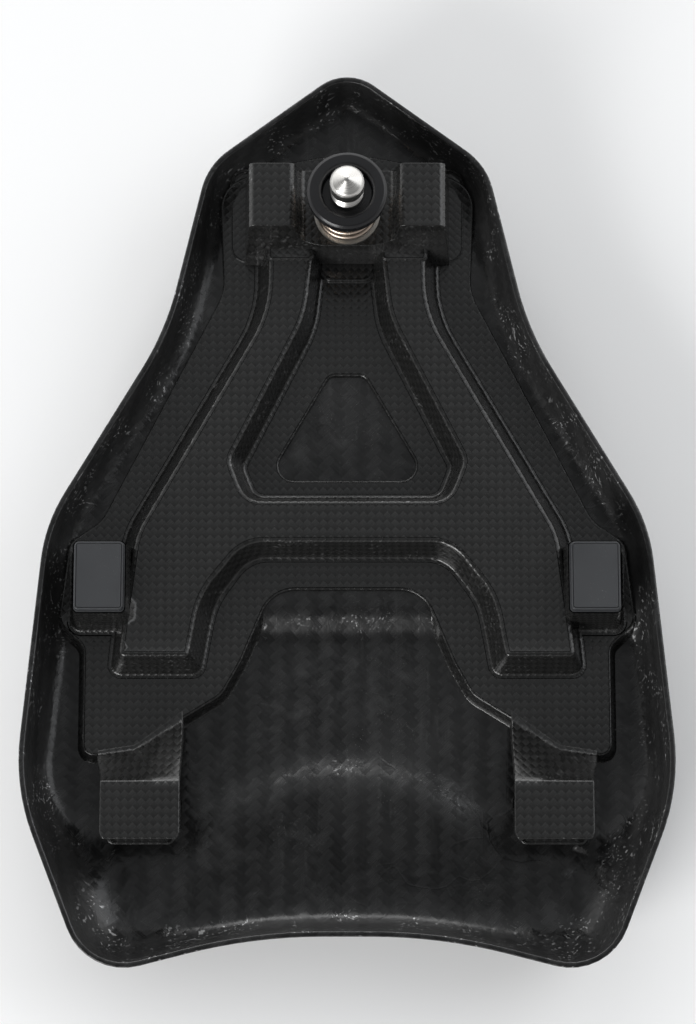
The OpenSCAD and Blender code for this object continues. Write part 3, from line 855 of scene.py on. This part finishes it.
def makeShell():
    edge = [(0.0, 0.45), (0.12, 0.16), (0.45, 0.0), (1.3, 0.0), (1.75, 0.12), (1.97, 0.42)]
    inside = [2.15, 2.45, 2.9, 3.5, 4.2, 5.0, 6.0, 7.2, 8.8, 10.6, 13, 16, 20, 25]
    outside = [13, 10, 7.5, 5.6, 4.2, 3.1, 2.2, 1.5, 0.95, 0.55, 0.25, 0.05]
    rings = []
    for inset in reversed(inside):
        ring = outline(shellCorners, inset)
        rings.append(atHeight(ring, dish(ring, np.full(len(ring), inset))))
    for inset, down in reversed(edge):
        rings.append(atHeight(outline(shellCorners, inset), rimZ - down))
    skin = Skin()
    skin.strip(rings)
    skin.fill(rings[0][:, :2], [], lambda p: dish(p, np.maximum(edgeDistance(p, shellLine), 25)),
              shell["grid"])
    below = []
    for inset in outside:
        ring = outline(shellCorners, inset)
        under = floorZ(ring) - shell["thickness"]
        below.append(atHeight(ring, under + (rimZ - 0.5 - under) * np.exp(-inset / shell["outerLip"])))
    below.append(rings[-1])
    skin.strip(below)
    skin.fill(below[0][:, :2], [], lambda p: floorZ(p) - shell["thickness"], 7, up=False)
    piece = skin.build("outerShell", materials["shell"])
    return finishPiece(piece, "seat_unit", "shell_carbon", "outer_shell")


makeShell()
print("shell made")


# inner frame
ribs = {
    "top": [(36, -11.3, 14), (51, -30, 30), (55, -52, 2), (80, -52, 2.5), (74.5, -8, 30),
            (28.4, 73, 45), (28.2, 99, 0.5)],
    "base": [(35, -13.9, 14), (47.6, -31, 30), (52, -55.6, 3), (82.4, -55.6, 3), (77.6, -6, 30),
             (31.4, 74.5, 45),
             (31.2, 99, 0.5)],
    "pocketTop": [(35.5, 4.2, 8), (41, 18.5, 6), (14.5, 71, 40), (11.5, 97, 0.5)],
    "pocketBase": [(33.4, 6.6, 6), (38, 18.3, 5), (12.2, 69.5, 40), (9.2, 97, 0.5)],
    "height": 12,
    "legEnd": (-48.0, 3.4, 0.8),  # where each leg's top starts to turn up, over what length, and how far
    "edge": 1.6,
    "foot": 1.7,
}
flange = {
    "half": [(26.5, -25.8, 12.5), (37.5, -52, 30), (44, -63.5, 11), (57, -71.5, 6), (74, -83, 6),
             (92.7, -85.3, 4),
             (92.7, -46, 6), (101.8, -38, 6), (98.3, -9, 7), (87, -1, 14), (44.3, 83, 20),
             (45.9, 121, 12), (30, 130, 30)],
    "tail": [(0, 135.6, 60)],
    "window": [(28.5, 13.6, 5.5), (6.2, 52, 3.5)],
    "lean": 0.22,  # how far the edge walls lean out for each millimetre of drop
    "grid": 3.0,
}
boss = {
    "top": (77.2, 95, -38, -13, 1.6),
    "grow": (2.6, 1.2, 1.9, 1.6),  # inner, outer, front and rear draft down to the foot
    "edge": 0.5,
    "foot": 2.2,
}


# rings down a drafted wall with both fillets
def walled(top, base, topZ, ground, edge, foot, sign=1, cuts=4):
    def ringAt(share, inset):
        upper = outline(top, sign * inset)
        lower = outline(base, sign * inset, like=top)
        return upper + (lower - upper) * share

    # a narrow flat ring keeps the shading of the edge off the top
    rings = [atHeight(ringAt(0, edge + 0.4), topZ)]
    for t in np.radians([0, 22, 45, 68, 90]):
        rings.append(atHeight(ringAt(0, edge * (1 - math.sin(t))), topZ - edge * (1 - math.cos(t))))
    for share in np.arange(1, cuts + 1) / cuts:
        ring = ringAt(share, 0)
        rings.append(atHeight(ring, (topZ - edge) * (1 - share) + (ground(ring) + foot) * share))
    for t in np.radians([18, 36, 54, 72, 90]):
        ring = ringAt(1, -foot * (1 - math.cos(t)))
        rings.append(atHeight(ring, ground(ring) + foot * (1 - math.sin(t))))
    ring = ringAt(1, -foot - 0.4)
    return [*rings, atHeight(ring, ground(ring))]


def dropped(corners, top, bottom, edge=0.45, sign=1):  # rings over a free edge and down its leaning wall
    line = outline(corners)
    out = line - outline(corners, sign * 1.0)
    fall = np.maximum(top(line) - bottom(line), 0.3)
    lean = out * (flange["lean"] * np.maximum(fall - 2, 0))[:, None]
    rings = [atHeight(outline(corners, sign * (edge + 0.4)), top(line)),
             atHeight(outline(corners, sign * edge), top(line)),
             atHeight(outline(corners, sign * edge * 0.3), top(line) - edge * 0.3),
             atHeight(line, top(line) - edge)]
    for share in (0.35, 0.7, 0.88, 1.0):
        ring = line + lean * share + out * 0.9 * max(0, share - 0.8) * 5 * ease(fall - 2)[:, None]
        rings.append(atHeight(ring, top(line) - edge - (fall - edge) * share))
    return rings


def bossCorners(side):
    x0, x1, y0, y1, r = boss["top"]
    a, b, c, d = boss["grow"]
    top = plate(x0, x1, y0, y1, r)
    base = plate(x0 - a, x1 + b, y0 - c, y1 + d, r + 1)
    if side < 0:
        top, base = [[(-x, y, q) for x, y, q in reversed(c)] for c in (top, base)]
    return top, base


def makeFrame():
    skin = Skin()
    ribTop = flangeZ + ribs["height"]
    outer = walled(bothSides(ribs["top"]), bothSides(ribs["base"]), ribTop, flangeTop, ribs["edge"],
                   ribs["foot"])
    pocket = walled(bothSides(ribs["pocketTop"]), bothSides(ribs["pocketBase"]), ribTop, flangeTop,
                    ribs["edge"], ribs["foot"], sign=-1)
    skin.strip(outer[::-1], unrolled(outer)[::-1])
    skin.strip(pocket, unrolled(pocket))
    skin.fill(outer[0][:, :2], [pocket[0][:, :2]], lambda p: np.full(len(p), ribTop), 3.2)
    corners = bothSides(flange["half"], flange["tail"])
    window = bothSides(flange["window"])
    rim = dropped(corners, flangeTop, shellZ)
    hole = dropped(window, flangeTop, shellZ, sign=-1)
    skin.strip(rim[::-1], unrolled(rim)[::-1])
    skin.strip(hole, unrolled(hole))
    skin.fill(rim[0][:, :2], [outer[-1][:, :2]], flangeTop, flange["grid"])
    skin.fill(pocket[-1][:, :2], [hole[0][:, :2]], flangeTop, flange["grid"])
    skin.fill(rim[-1][:, :2], [hole[-1][:, :2]], lambda p: shellZ(p), 8, up=False)
    for side in (-1, 1):
        top, base = bossCorners(side)
        wall = walled(top, base, ribsHigh[2], flangeTop, boss["edge"], boss["foot"])
        skin.strip(wall[::-1], unrolled(wall)[::-1])
        skin.cap(wall[0])
    piece = skin.build("innerFrame", materials["frame"])
    points = readPoints(piece.data)
    start, length, lift = ribs["legEnd"]
    legs = (points[:, 2] > ribTop - 2) & (points[:, 2] < ribTop + 0.1)
    points[:, 2] += legs * lift * np.clip((start - points[:, 1]) / length, 0, 1)
    writePoints(piece.data, points)
    weightNormals(piece)
    return finishPiece(piece, "seat_unit", "frame_carbon", "frame_base", "frame_ribs")


makeFrame()
print("inner frame made")


# latch bridge
bridge = {
    "out": 36.8, "bay": 16.4, "lean": 2.2,
    "front": 93, "length": 31, "frontLean": 6, "rearLean": 2,
    "towerRound": 2.6, "bayRound": 2.2,
    "edge": 0.6,
    "bow": 1.7,  # how far the platform's front edge bulges
    "lip": 5, "lipTop": 0.35, "tabTop": 1.3,
    "tab": 10,
}


def makeBridge():
    bottom = bridgeLow[2]
    tower = bridgeHigh[2]
    deck = washerLow[2]
    out, bay, lean = bridge["out"], bridge["bay"], bridge["lean"]
    half = [(out, bottom, 0.1), (out - lean, tower, bridge["towerRound"]),
            (bay + lean, tower, bridge["towerRound"]),
            (bay, deck, bridge["bayRound"])]
    profile = outline(bothSides(half), step=3, steps=6)
    rise = (profile[:, 1] - bottom) / (tower - bottom)
    front = bridge["front"] + bridge["frontLean"] * rise
    low = ease((deck + 1.5 - profile[:, 1]) / 1.5) * (profile[:, 1] > bottom + 1)
    front = front - bridge["bow"] * low * ease(1.25 * (1 - (profile[:, 0] / bay) ** 2))
    rear = bridge["front"] + bridge["length"] - bridge["rearLean"] * rise
    mesh = bpy.data.meshes.new("latchBridge")
    count = len(profile)
    points = [(x * mm, y * mm, z * mm) for (x, z), y in zip(profile, front)]
    points += [(x * mm, y * mm, z * mm) for (x, z), y in zip(profile, rear)]
    faces = [tuple(range(count)), tuple(range(2 * count - 1, count - 1, -1))]
    faces += [(i, count + i, count + (i + 1) % count, (i + 1) % count) for i in range(count)]
    mesh.from_pydata(points, [], faces)
    piece = place("latchBridge", mesh, materials["frame"])
    bevel = piece.modifiers.new("roundedEdges", "BEVEL")
    bevel.width = bridge["edge"] * mm
    bevel.segments = 4
    bevel.limit_method = "ANGLE"
    bevel.angle_limit = math.radians(40)
    bevel.harden_normals = False
    applyModifiers(piece)
    lips = Skin()
    ground = lambda p: np.maximum(flangeTop(p), bottom) - 0.05
    wide = out + bridge["lip"]
    deep = bridge["front"] + bridge["length"] + bridge["lip"] - 1
    tab = bridge["tab"]
    for box, rise, edge in (((-wide, wide, bridge["front"] + 1, deep, 6), bridge["lipTop"], 0.15),
                            ((-tab, tab, bridge["front"] - 6.2, bridge["front"] + 4, 4.5),
                             bridge["tabTop"], 0.5)):
        top = plate(*box)
        wall = walled(top, top, bottom + rise, ground, edge, edge, cuts=2)
        lips.strip(wall[::-1], unrolled(wall)[::-1])
        lips.cap(wall[0])
    ribTop = flangeZ + ribs["height"]
    for side in (-1, 1):
        x0, x1 = sorted((side * 12.6, side * 28))
        top = plate(x0, x1, bridge["front"] - 1.4, bridge["front"] + 5, 1.4)
        wall = walled(top, top, ribTop + 0.8, lambda p: np.full(len(p), ribTop - 0.02), 0.35, 0.3, cuts=1)
        lips.strip(wall[::-1], unrolled(wall)[::-1])
        lips.cap(wall[0])
    lipPiece = lips.build("bridgeLips", materials["frame"])
    wrapMap(piece)
    bpy.ops.object.select_all(action="DESELECT")
    lipPiece.select_set(True)
    piece.select_set(True)
    bpy.context.view_layer.objects.active = piece
    bpy.ops.object.join()
    weightNormals(piece)
    return finishPiece(piece, "seat_unit", "frame_carbon", "latch_bridge")


makeBridge()
print("latch bridge made")


# hook tongues and their feet
tongue = {
    "thickness": 2.2,
    "crease": [(57, -71.5), (74, -82.6), (88, -84.6)],  # where the ramp leaves the frame's foot
    "spread": 2.5,  # how much wider the ramp is at its base
    "edge": 0.55,
    "corner": 2.2,
    "footDraft": 0.2,
    "setBack": 3.2,  # how far the front of the foot leans back under its lip
}


def makeTongue(name, side, node):
    x0, x1 = tongueLow[0], tongueHigh[0]
    y0, y1 = tongueLow[1], tongueLow[1] + 20
    top = tongueHigh[2]
    columns = np.linspace(0, 1, 15)
    crease = np.array(tongue["crease"], float)
    rows = []
    for share in (-0.14, -0.04, 0.02, 0.08, 0.2, 0.4, 0.6, 0.8, 0.92, 1.0):
        row = []
        for c in columns:
            baseX = x0 + (x1 + tongue["spread"] - x0) * c
            baseY = np.interp(baseX, crease[:, 0], crease[:, 1])
            x = baseX + (x0 + (x1 - x0) * c - baseX) * ease(share)
            y = baseY + (y1 - baseY) * share
            rise = 0.06 * share + 0.94 * share ** 1.15 if share > 0 else 0.0
            z = flangeZ + 0.15 + (top - flangeZ - 0.15) * rise
            row.append((x, y, z))
        rows.append(row)
    for share in (0.1, 0.3, 0.6, 0.88, 1.0):
        y = y1 + (y0 - y1) * share
        nip = tongue["corner"] * max(0.0, share - 0.88) / 0.12
        row = []
        for c in columns:
            x = x0 + (x1 - x0) * c
            lean = 0.9 * nip / tongue["corner"]
            row.append((x + (lean if c == 0 else -lean if c == 1 else 0), y, top))
        rows.append(row)
    points = np.array(rows, float)
    points[:, :, 0] *= side
    mesh = bpy.data.meshes.new(name)
    high, wide = points.shape[:2]
    faces = []
    for j in range(high - 1):
        for i in range(wide - 1):
            quad = (j * wide + i, j * wide + i + 1, (j + 1) * wide + i + 1, (j + 1) * wide + i)
            faces.append(quad[::-1] if side > 0 else quad)
    mesh.from_pydata([tuple(p * mm) for p in points.reshape(-1, 3)], [], faces)
    piece = place(name, mesh, materials["frame"])
    solid = piece.modifiers.new("laminate", "SOLIDIFY")
    solid.thickness = tongue["thickness"] * mm
    solid.offset = -1
    bevel = piece.modifiers.new("roundedEdges", "BEVEL")
    bevel.width = tongue["edge"] * mm
    bevel.segments = 3
    bevel.limit_method = "ANGLE"
    bevel.angle_limit = math.radians(50)
    applyModifiers(piece)
    wrapMap(piece)
    weightNormals(piece)
    return finishPiece(piece, "seat_unit", "frame_carbon", node)


def makeHookFoot(name, side, node):
    x0, x1 = sorted((side * hookLow[0], side * hookHigh[0]))
    draft = tongue["footDraft"]
    top = plate(x0, x1, hookLow[1], hookHigh[1], 2.5)
    base = plate(x0 - draft, x1 + draft, hookLow[1] + tongue["setBack"], hookHigh[1] + draft, 3.5)
    wall = walled(top, base, hookHigh[2], shellZ, 0.5, 0.8)
    skin = Skin()
    skin.strip(wall[::-1], unrolled(wall)[::-1])
    skin.cap(wall[0])
    skin.cap(wall[-1], up=False)
    piece = skin.build(name, materials["frame"])
    weightNormals(piece)
    return finishPiece(piece, "seat_unit", "frame_carbon", node)


for side, word in ((-1, "Left"), (1, "Right")):
    makeTongue("tongue" + word, side, "tongue_" + word.lower())
    makeHookFoot("tongueFoot" + word, side, "tongue_foot_" + word.lower())
print("tongues made")


# rubber buffers
buffer = {"corner": 1.5, "edge": 0.4, "foot": 0.15, "over": 0.5}


def makeBuffer(name, side, node):
    x0, x1 = sorted((side * bufferLow[0], side * bufferHigh[0]))
    more = buffer["over"]
    y0, y1 = bufferLow[1] - more, bufferHigh[1] + more
    top = plate(x0 - more + 0.2, x1 + more - 0.2, y0 + 0.2, y1 - 0.2, buffer["corner"])
    base = plate(x0 - more, x1 + more, y0, y1, buffer["corner"])
    wall = walled(top, base, bufferHigh[2], lambda p: np.full(len(p), bufferLow[2]), buffer["edge"],
                  buffer["foot"], cuts=2)
    skin = Skin()
    skin.strip(wall[::-1])
    skin.cap(wall[0])
    skin.cap(wall[-1], up=False)
    piece = skin.build(name, materials["rubber"])
    weightNormals(piece)
    return finishPiece(piece, "seat_unit", "buffer_rubber", node)


for side, word in ((-1, "Left"), (1, "Right")):
    makeBuffer("buffer" + word, side, "buffer_" + word.lower())
print("buffers made")


# latch hardware
latch = {
    "pinR": 6.0, "neckR": 4.0, "studR": 4.0, "tipR": 0.9, "cone": 3.4, "shankTop": 68.0, "headZ": 74.0,
    "groove": 0.5, "clip": 1.05,
    "bore": 6.08, "counter": 9.0, "body": 10.75, "rim": 4.5, "depth": 5.5,
    "wire": 1.0, "turns": 4, "perTurn": 56, "sides": 14,
}


def makePin():
    r, neck, stud = latch["pinR"], latch["neckR"], latch["studR"]
    deck = washerLow[2]
    grooveZ = cupHigh[2] - latch["depth"] + 0.3
    tip = pinHigh[2]
    profile = [
        (0, tip), (latch["tipR"], tip - 0.25), (r - 0.7, tip - latch["cone"] + 0.3),
        (r, tip - latch["cone"] - 0.9),
        (r, latch["headZ"]), (neck + 0.3, latch["headZ"] - 1.1), (neck, latch["headZ"] - 1.8),
        (neck, latch["shankTop"] + 1.8),
        (neck + 0.3, latch["shankTop"] + 1.1), (r - 0.2, latch["shankTop"]), (r, latch["shankTop"] - 0.3),
        (r, grooveZ + latch["clip"]), (r - latch["groove"], grooveZ + latch["clip"]),
        (r - latch["groove"], grooveZ),
        (r, grooveZ), (r, deck + 0.4), (r - 0.3, deck), (stud, deck), (stud, pinLow[2] + 0.7),
        (stud - 0.7, pinLow[2]), (0, pinLow[2])]
    piece = lathe("latchPin", rounded(profile, 0.45), materials["steel"])
    weightNormals(piece)
    return finishPiece(piece, "seat_unit", "pin_steel", "latch_pin")


def makeCup():
    low, high = cupLow[2], cupHigh[2]
    rimR = (cupHigh[0] - cupLow[0]) / 2
    under = high - latch["rim"]
    floor = high - latch["depth"]
    profile = [
        (latch["bore"], low + 1), (latch["bore"], low), (latch["body"], low), (latch["body"], under),
        (rimR, under), (rimR, high - 1.0),
        (rimR - 1.0, high), (latch["counter"] + 0.9, high), (latch["counter"], high - 0.9),
        (latch["counter"], floor),
        (latch["bore"], floor), (latch["bore"], low + 1)]
    piece = lathe("springCup", rounded(profile, 0.35), materials["black"], steps=128)
    weightNormals(piece)
    return finishPiece(piece, "cup", "cup_black", "spring_cup")


def makeSpring():
    wire = latch["wire"]
    mean = (springHigh[0] - springLow[0]) / 2 - wire
    rise = springHigh[2] - springLow[2] - 2 * wire
    count = latch["turns"] * latch["perTurn"]
    around = np.linspace(0, 2 * math.pi, latch["sides"], endpoint=False)
    rings = []
    for i in range(count + 1):
        turn = i / latch["perTurn"]
        climb = ease((turn - 0.35) / (latch["turns"] - 0.7)) * 0.25
        climb += np.clip((turn - 0.5) / (latch["turns"] - 1), 0, 1) * 0.75
        z = springLow[2] + wire + rise * climb
        a = 2 * math.pi * turn
        away = mean + wire * np.cos(around)
        rings.append(np.column_stack([pinX + away * math.cos(a), pinY + away * math.sin(a),
                                      z + wire * np.sin(around)]))
    skin = Skin()
    skin.strip(rings)
    skin.cap(rings[0])
    skin.cap(rings[-1], up=False)
    piece = skin.build("latchSpring", materials["wire"])
    finishPiece(piece, "seat_unit", "spring_steel", "latch_spring")
    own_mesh(piece)
    return piece


makePin()
makeCup()
makeSpring()
for name in ("cup_circlip", "spring_washer", "pin_insert", "backing_plate", "pin_nut", "lock_washer"):
    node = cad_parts[name]
    node.data.materials.clear()
    node.data.materials.append(materials["clip" if name == "cup_circlip" else "zinc"])
print("latch made")


# rider's pad: foam core, stitched cover, piping
pad = {
    "inset": 13, "round": 6,
    "slack": 2.0,  # how much smaller it starts before it swells
    "voxel": 5, "pressure": 14, "frames": 20, "swell": 5,
    "channels": (-106, -82, -58, -34, -10, 14, 38, 62, 86), "channelDepth": 1.6, "channelWidth": 2.3,
    "border": 12,  # from the pad's side to the border seam
    "piping": 1.15,
    "stitch": 2.7, "pitch": 4.2, "thread": 0.3,
    "coreGap": 3.2,
}
borderLine = outline(shellCorners, pad["inset"] + pad["border"], step=3)


def padCeiling(points):  # just under the shell
    return floorZ(points) - shell["thickness"] - 0.15


# closed crowned form from under the shell down to the rider's side
def padForm(inset, bottom, drop, radius):
    rings = []
    for away in (4.0, 1.0, 0.0):
        ring = outline(shellCorners, inset + away)
        rings.append(atHeight(ring, padCeiling(ring) - drop - (0 if away else 1.0)))
    for t in np.radians([0, 18, 36, 54, 72, 90]):
        ring = outline(shellCorners, inset + radius * (1 - math.cos(t)))
        rings.append(atHeight(ring, bottom + radius * (1 - math.sin(t))))
    skin = Skin()
    skin.strip(rings)
    skin.fill(rings[0][:, :2], [], lambda p: padCeiling(p) - drop, 6)
    skin.fill(rings[-1][:, :2], [], lambda p: np.full(len(p), float(bottom)), 6, up=False)
    return skin


def seamDistance(points):  # distance to the nearest sewn line on the rider's side
    inner = insideLoop(points, borderLine)
    across = np.abs(points[:, 1][:, None] - np.array(pad["channels"])[None, :]).min(1)
    return np.minimum(edgeDistance(points, borderLine), np.where(inner, across, 99))


def swellPad(piece):  # the cover filled out by pressure, held where it is glued and sewn
    remesh = piece.modifiers.new("evenGrid", "REMESH")
    remesh.mode = "VOXEL"
    remesh.voxel_size = pad["voxel"] * mm
    applyModifiers(piece)
    start = readPoints(piece.data)
    glued = start[:, 2] > padCeiling(start[:, :2]) - 3.5
    sewn = (start[:, 2] < pad["slack"] + 2.5) & (seamDistance(start[:, :2]) < pad["voxel"] * 0.55)
    group = piece.vertex_groups.new(name="held")
    group.add([int(i) for i in np.flatnonzero(glued | sewn)], 1.0, "REPLACE")
    cloth = piece.modifiers.new("swell", "CLOTH")
    cloth.settings.use_pressure = True
    cloth.settings.uniform_pressure_force = pad["pressure"]
    cloth.settings.vertex_group_mass = "held"
    cloth.settings.effector_weights.gravity = 0
    cloth.point_cache.frame_start = 1
    cloth.point_cache.frame_end = pad["frames"]
    for number in range(1, pad["frames"] + 1):
        bpy.context.scene.frame_set(number)
    applyModifiers(piece)
    bpy.context.scene.frame_set(1)
    swollen = readPoints(piece.data)
    shift = swollen - start
    size = np.linalg.norm(shift, axis=1, keepdims=True)
    writePoints(piece.data, start + shift * np.minimum(1, pad["swell"] / np.maximum(size, 1e-6)))
    print("pad cover swollen by up to", round(float(size.max()), 1), "mm before the cap")
    smoother = piece.modifiers.new("subdivided", "SUBSURF")
    smoother.levels = 1
    smoother.render_levels = 1
    applyModifiers(piece)


# channels pressed in after the swelling, and the cover kept off the floor and the shell
def sewPad(piece):
    points = readPoints(piece.data)
    low = ease((9 - points[:, 2]) / 4)
    points[:, 2] -= low * (points[:, 2].min() - 0.02)
    press = pad["channelDepth"] * np.exp(-(seamDistance(points[:, :2]) / pad["channelWidth"]) ** 2)
    points[:, 2] += press * low
    points[:, 2] = np.clip(points[:, 2], 0.02, padCeiling(points[:, :2]))
    writePoints(piece.data, points)
    piece.data.shade_smooth()


def tube(line, radius, sides=10):  # a closed round cord along a line of points
    line = np.asarray(line, float)
    along = np.roll(line, -1, axis=0) - np.roll(line, 1, axis=0)
    along /= np.linalg.norm(along, axis=1, keepdims=True)
    side = np.cross(along, (0, 0, 1))
    side /= np.linalg.norm(side, axis=1, keepdims=True)
    up = np.cross(side, along)
    turns = np.linspace(0, 2 * math.pi, sides, endpoint=False)
    rings = [line + radius * (side * math.cos(t) + up * math.sin(t)) for t in turns]
    skin = Skin()
    skin.strip([*rings, rings[0]])
    return skin


def stitchRow(line, tree, skin):  # short raised thread capsules along a line that lies on the cover
    steps = np.linalg.norm(np.diff(line, axis=0), axis=1)
    walked = np.concatenate([[0], np.cumsum(steps)])
    profile = ((-0.5, 0.25), (-0.46, 0.8), (-0.3, 1.0), (0.3, 1.0), (0.46, 0.8), (0.5, 0.25))
    for at in np.arange(pad["pitch"], walked[-1] - pad["pitch"] / 2, pad["pitch"]):
        spot = [np.interp(at, walked, line[:, k]) for k in range(2)]
        ahead = [np.interp(at + 1, walked, line[:, k]) for k in range(2)]
        hit, normal, _, _ = tree.ray_cast(Vector((spot[0] * mm, spot[1] * mm, -0.05)), Vector((0, 0, 1)))
        if hit is None:
            continue
        centre = np.array(hit) / mm + np.array(normal) * pad["thread"] * 0.3
        way = unit(np.array([ahead[0] - spot[0], ahead[1] - spot[1], 0.0]))
        side = unit(np.cross(way, np.array(normal)))
        up = np.cross(side, way)
        turns = np.linspace(0, 2 * math.pi, 6, endpoint=False)
        rings = []
        for share, wide in profile:
            middle = centre + way * share * pad["stitch"]
            rings.append(np.array([middle + pad["thread"] * wide * (side * math.cos(t) + up * math.sin(t))
                                   for t in turns]))
        skin.strip(rings)
        skin.cap(rings[0])
        skin.cap(rings[-1], up=False)


def makePad():
    slack = pad["slack"]
    cover = padForm(pad["inset"] + 1.2, slack, 0.15, pad["round"]).build("padCover", materials["suede"])
    swellPad(cover)
    sewPad(cover)
    finishPiece(cover, "seat_unit", "pad_fabric", "pad_cover")
    gap = pad["coreGap"]
    core = padForm(pad["inset"] + gap, slack + gap, 0.9, 4).build("padCore", materials["foam"])
    finishPiece(core, "seat_unit", "foam_grey", "pad_foam")
    tree = BVHTree.FromPolygons([v.co for v in cover.data.vertices],
                                [f.vertices[:] for f in cover.data.polygons])
    line = []
    for x, y in outline(shellCorners, pad["inset"] + 1.4, step=2.5):
        hit, normal, _, _ = tree.find_nearest(Vector((x * mm, y * mm, 3.4 * mm)))
        line.append(np.array(hit) / mm + np.array(normal) * pad["piping"] * 0.35)
    line = np.array(line)
    for _ in range(6):
        line = (np.roll(line, 1, axis=0) + 2 * line + np.roll(line, -1, axis=0)) / 4
    line[:, 2] = np.maximum(line[:, 2], pad["piping"] + 0.02)
    piping = tube(line, pad["piping"]).build("padPiping", materials["suede"])
    finishPiece(piping, "seat_unit", "pad_fabric")
    stitches = Skin()
    edge = np.vstack([borderLine, borderLine[:1]])
    stitchRow(edge, tree, stitches)
    for y in pad["channels"]:
        row = np.column_stack([np.linspace(-120, 120, 241), np.full(241, float(y))])
        row = row[insideLoop(row, borderLine)]
        row = row[edgeDistance(row, borderLine) > 2]
        if len(row) > 8:
            stitchRow(row, tree, stitches)
    sewn = stitches.build("padStitching", materials["thread"], merge=0.0005)
    finishPiece(sewn, "seat_unit", "pad_fabric")


makePad()
print("pad made")
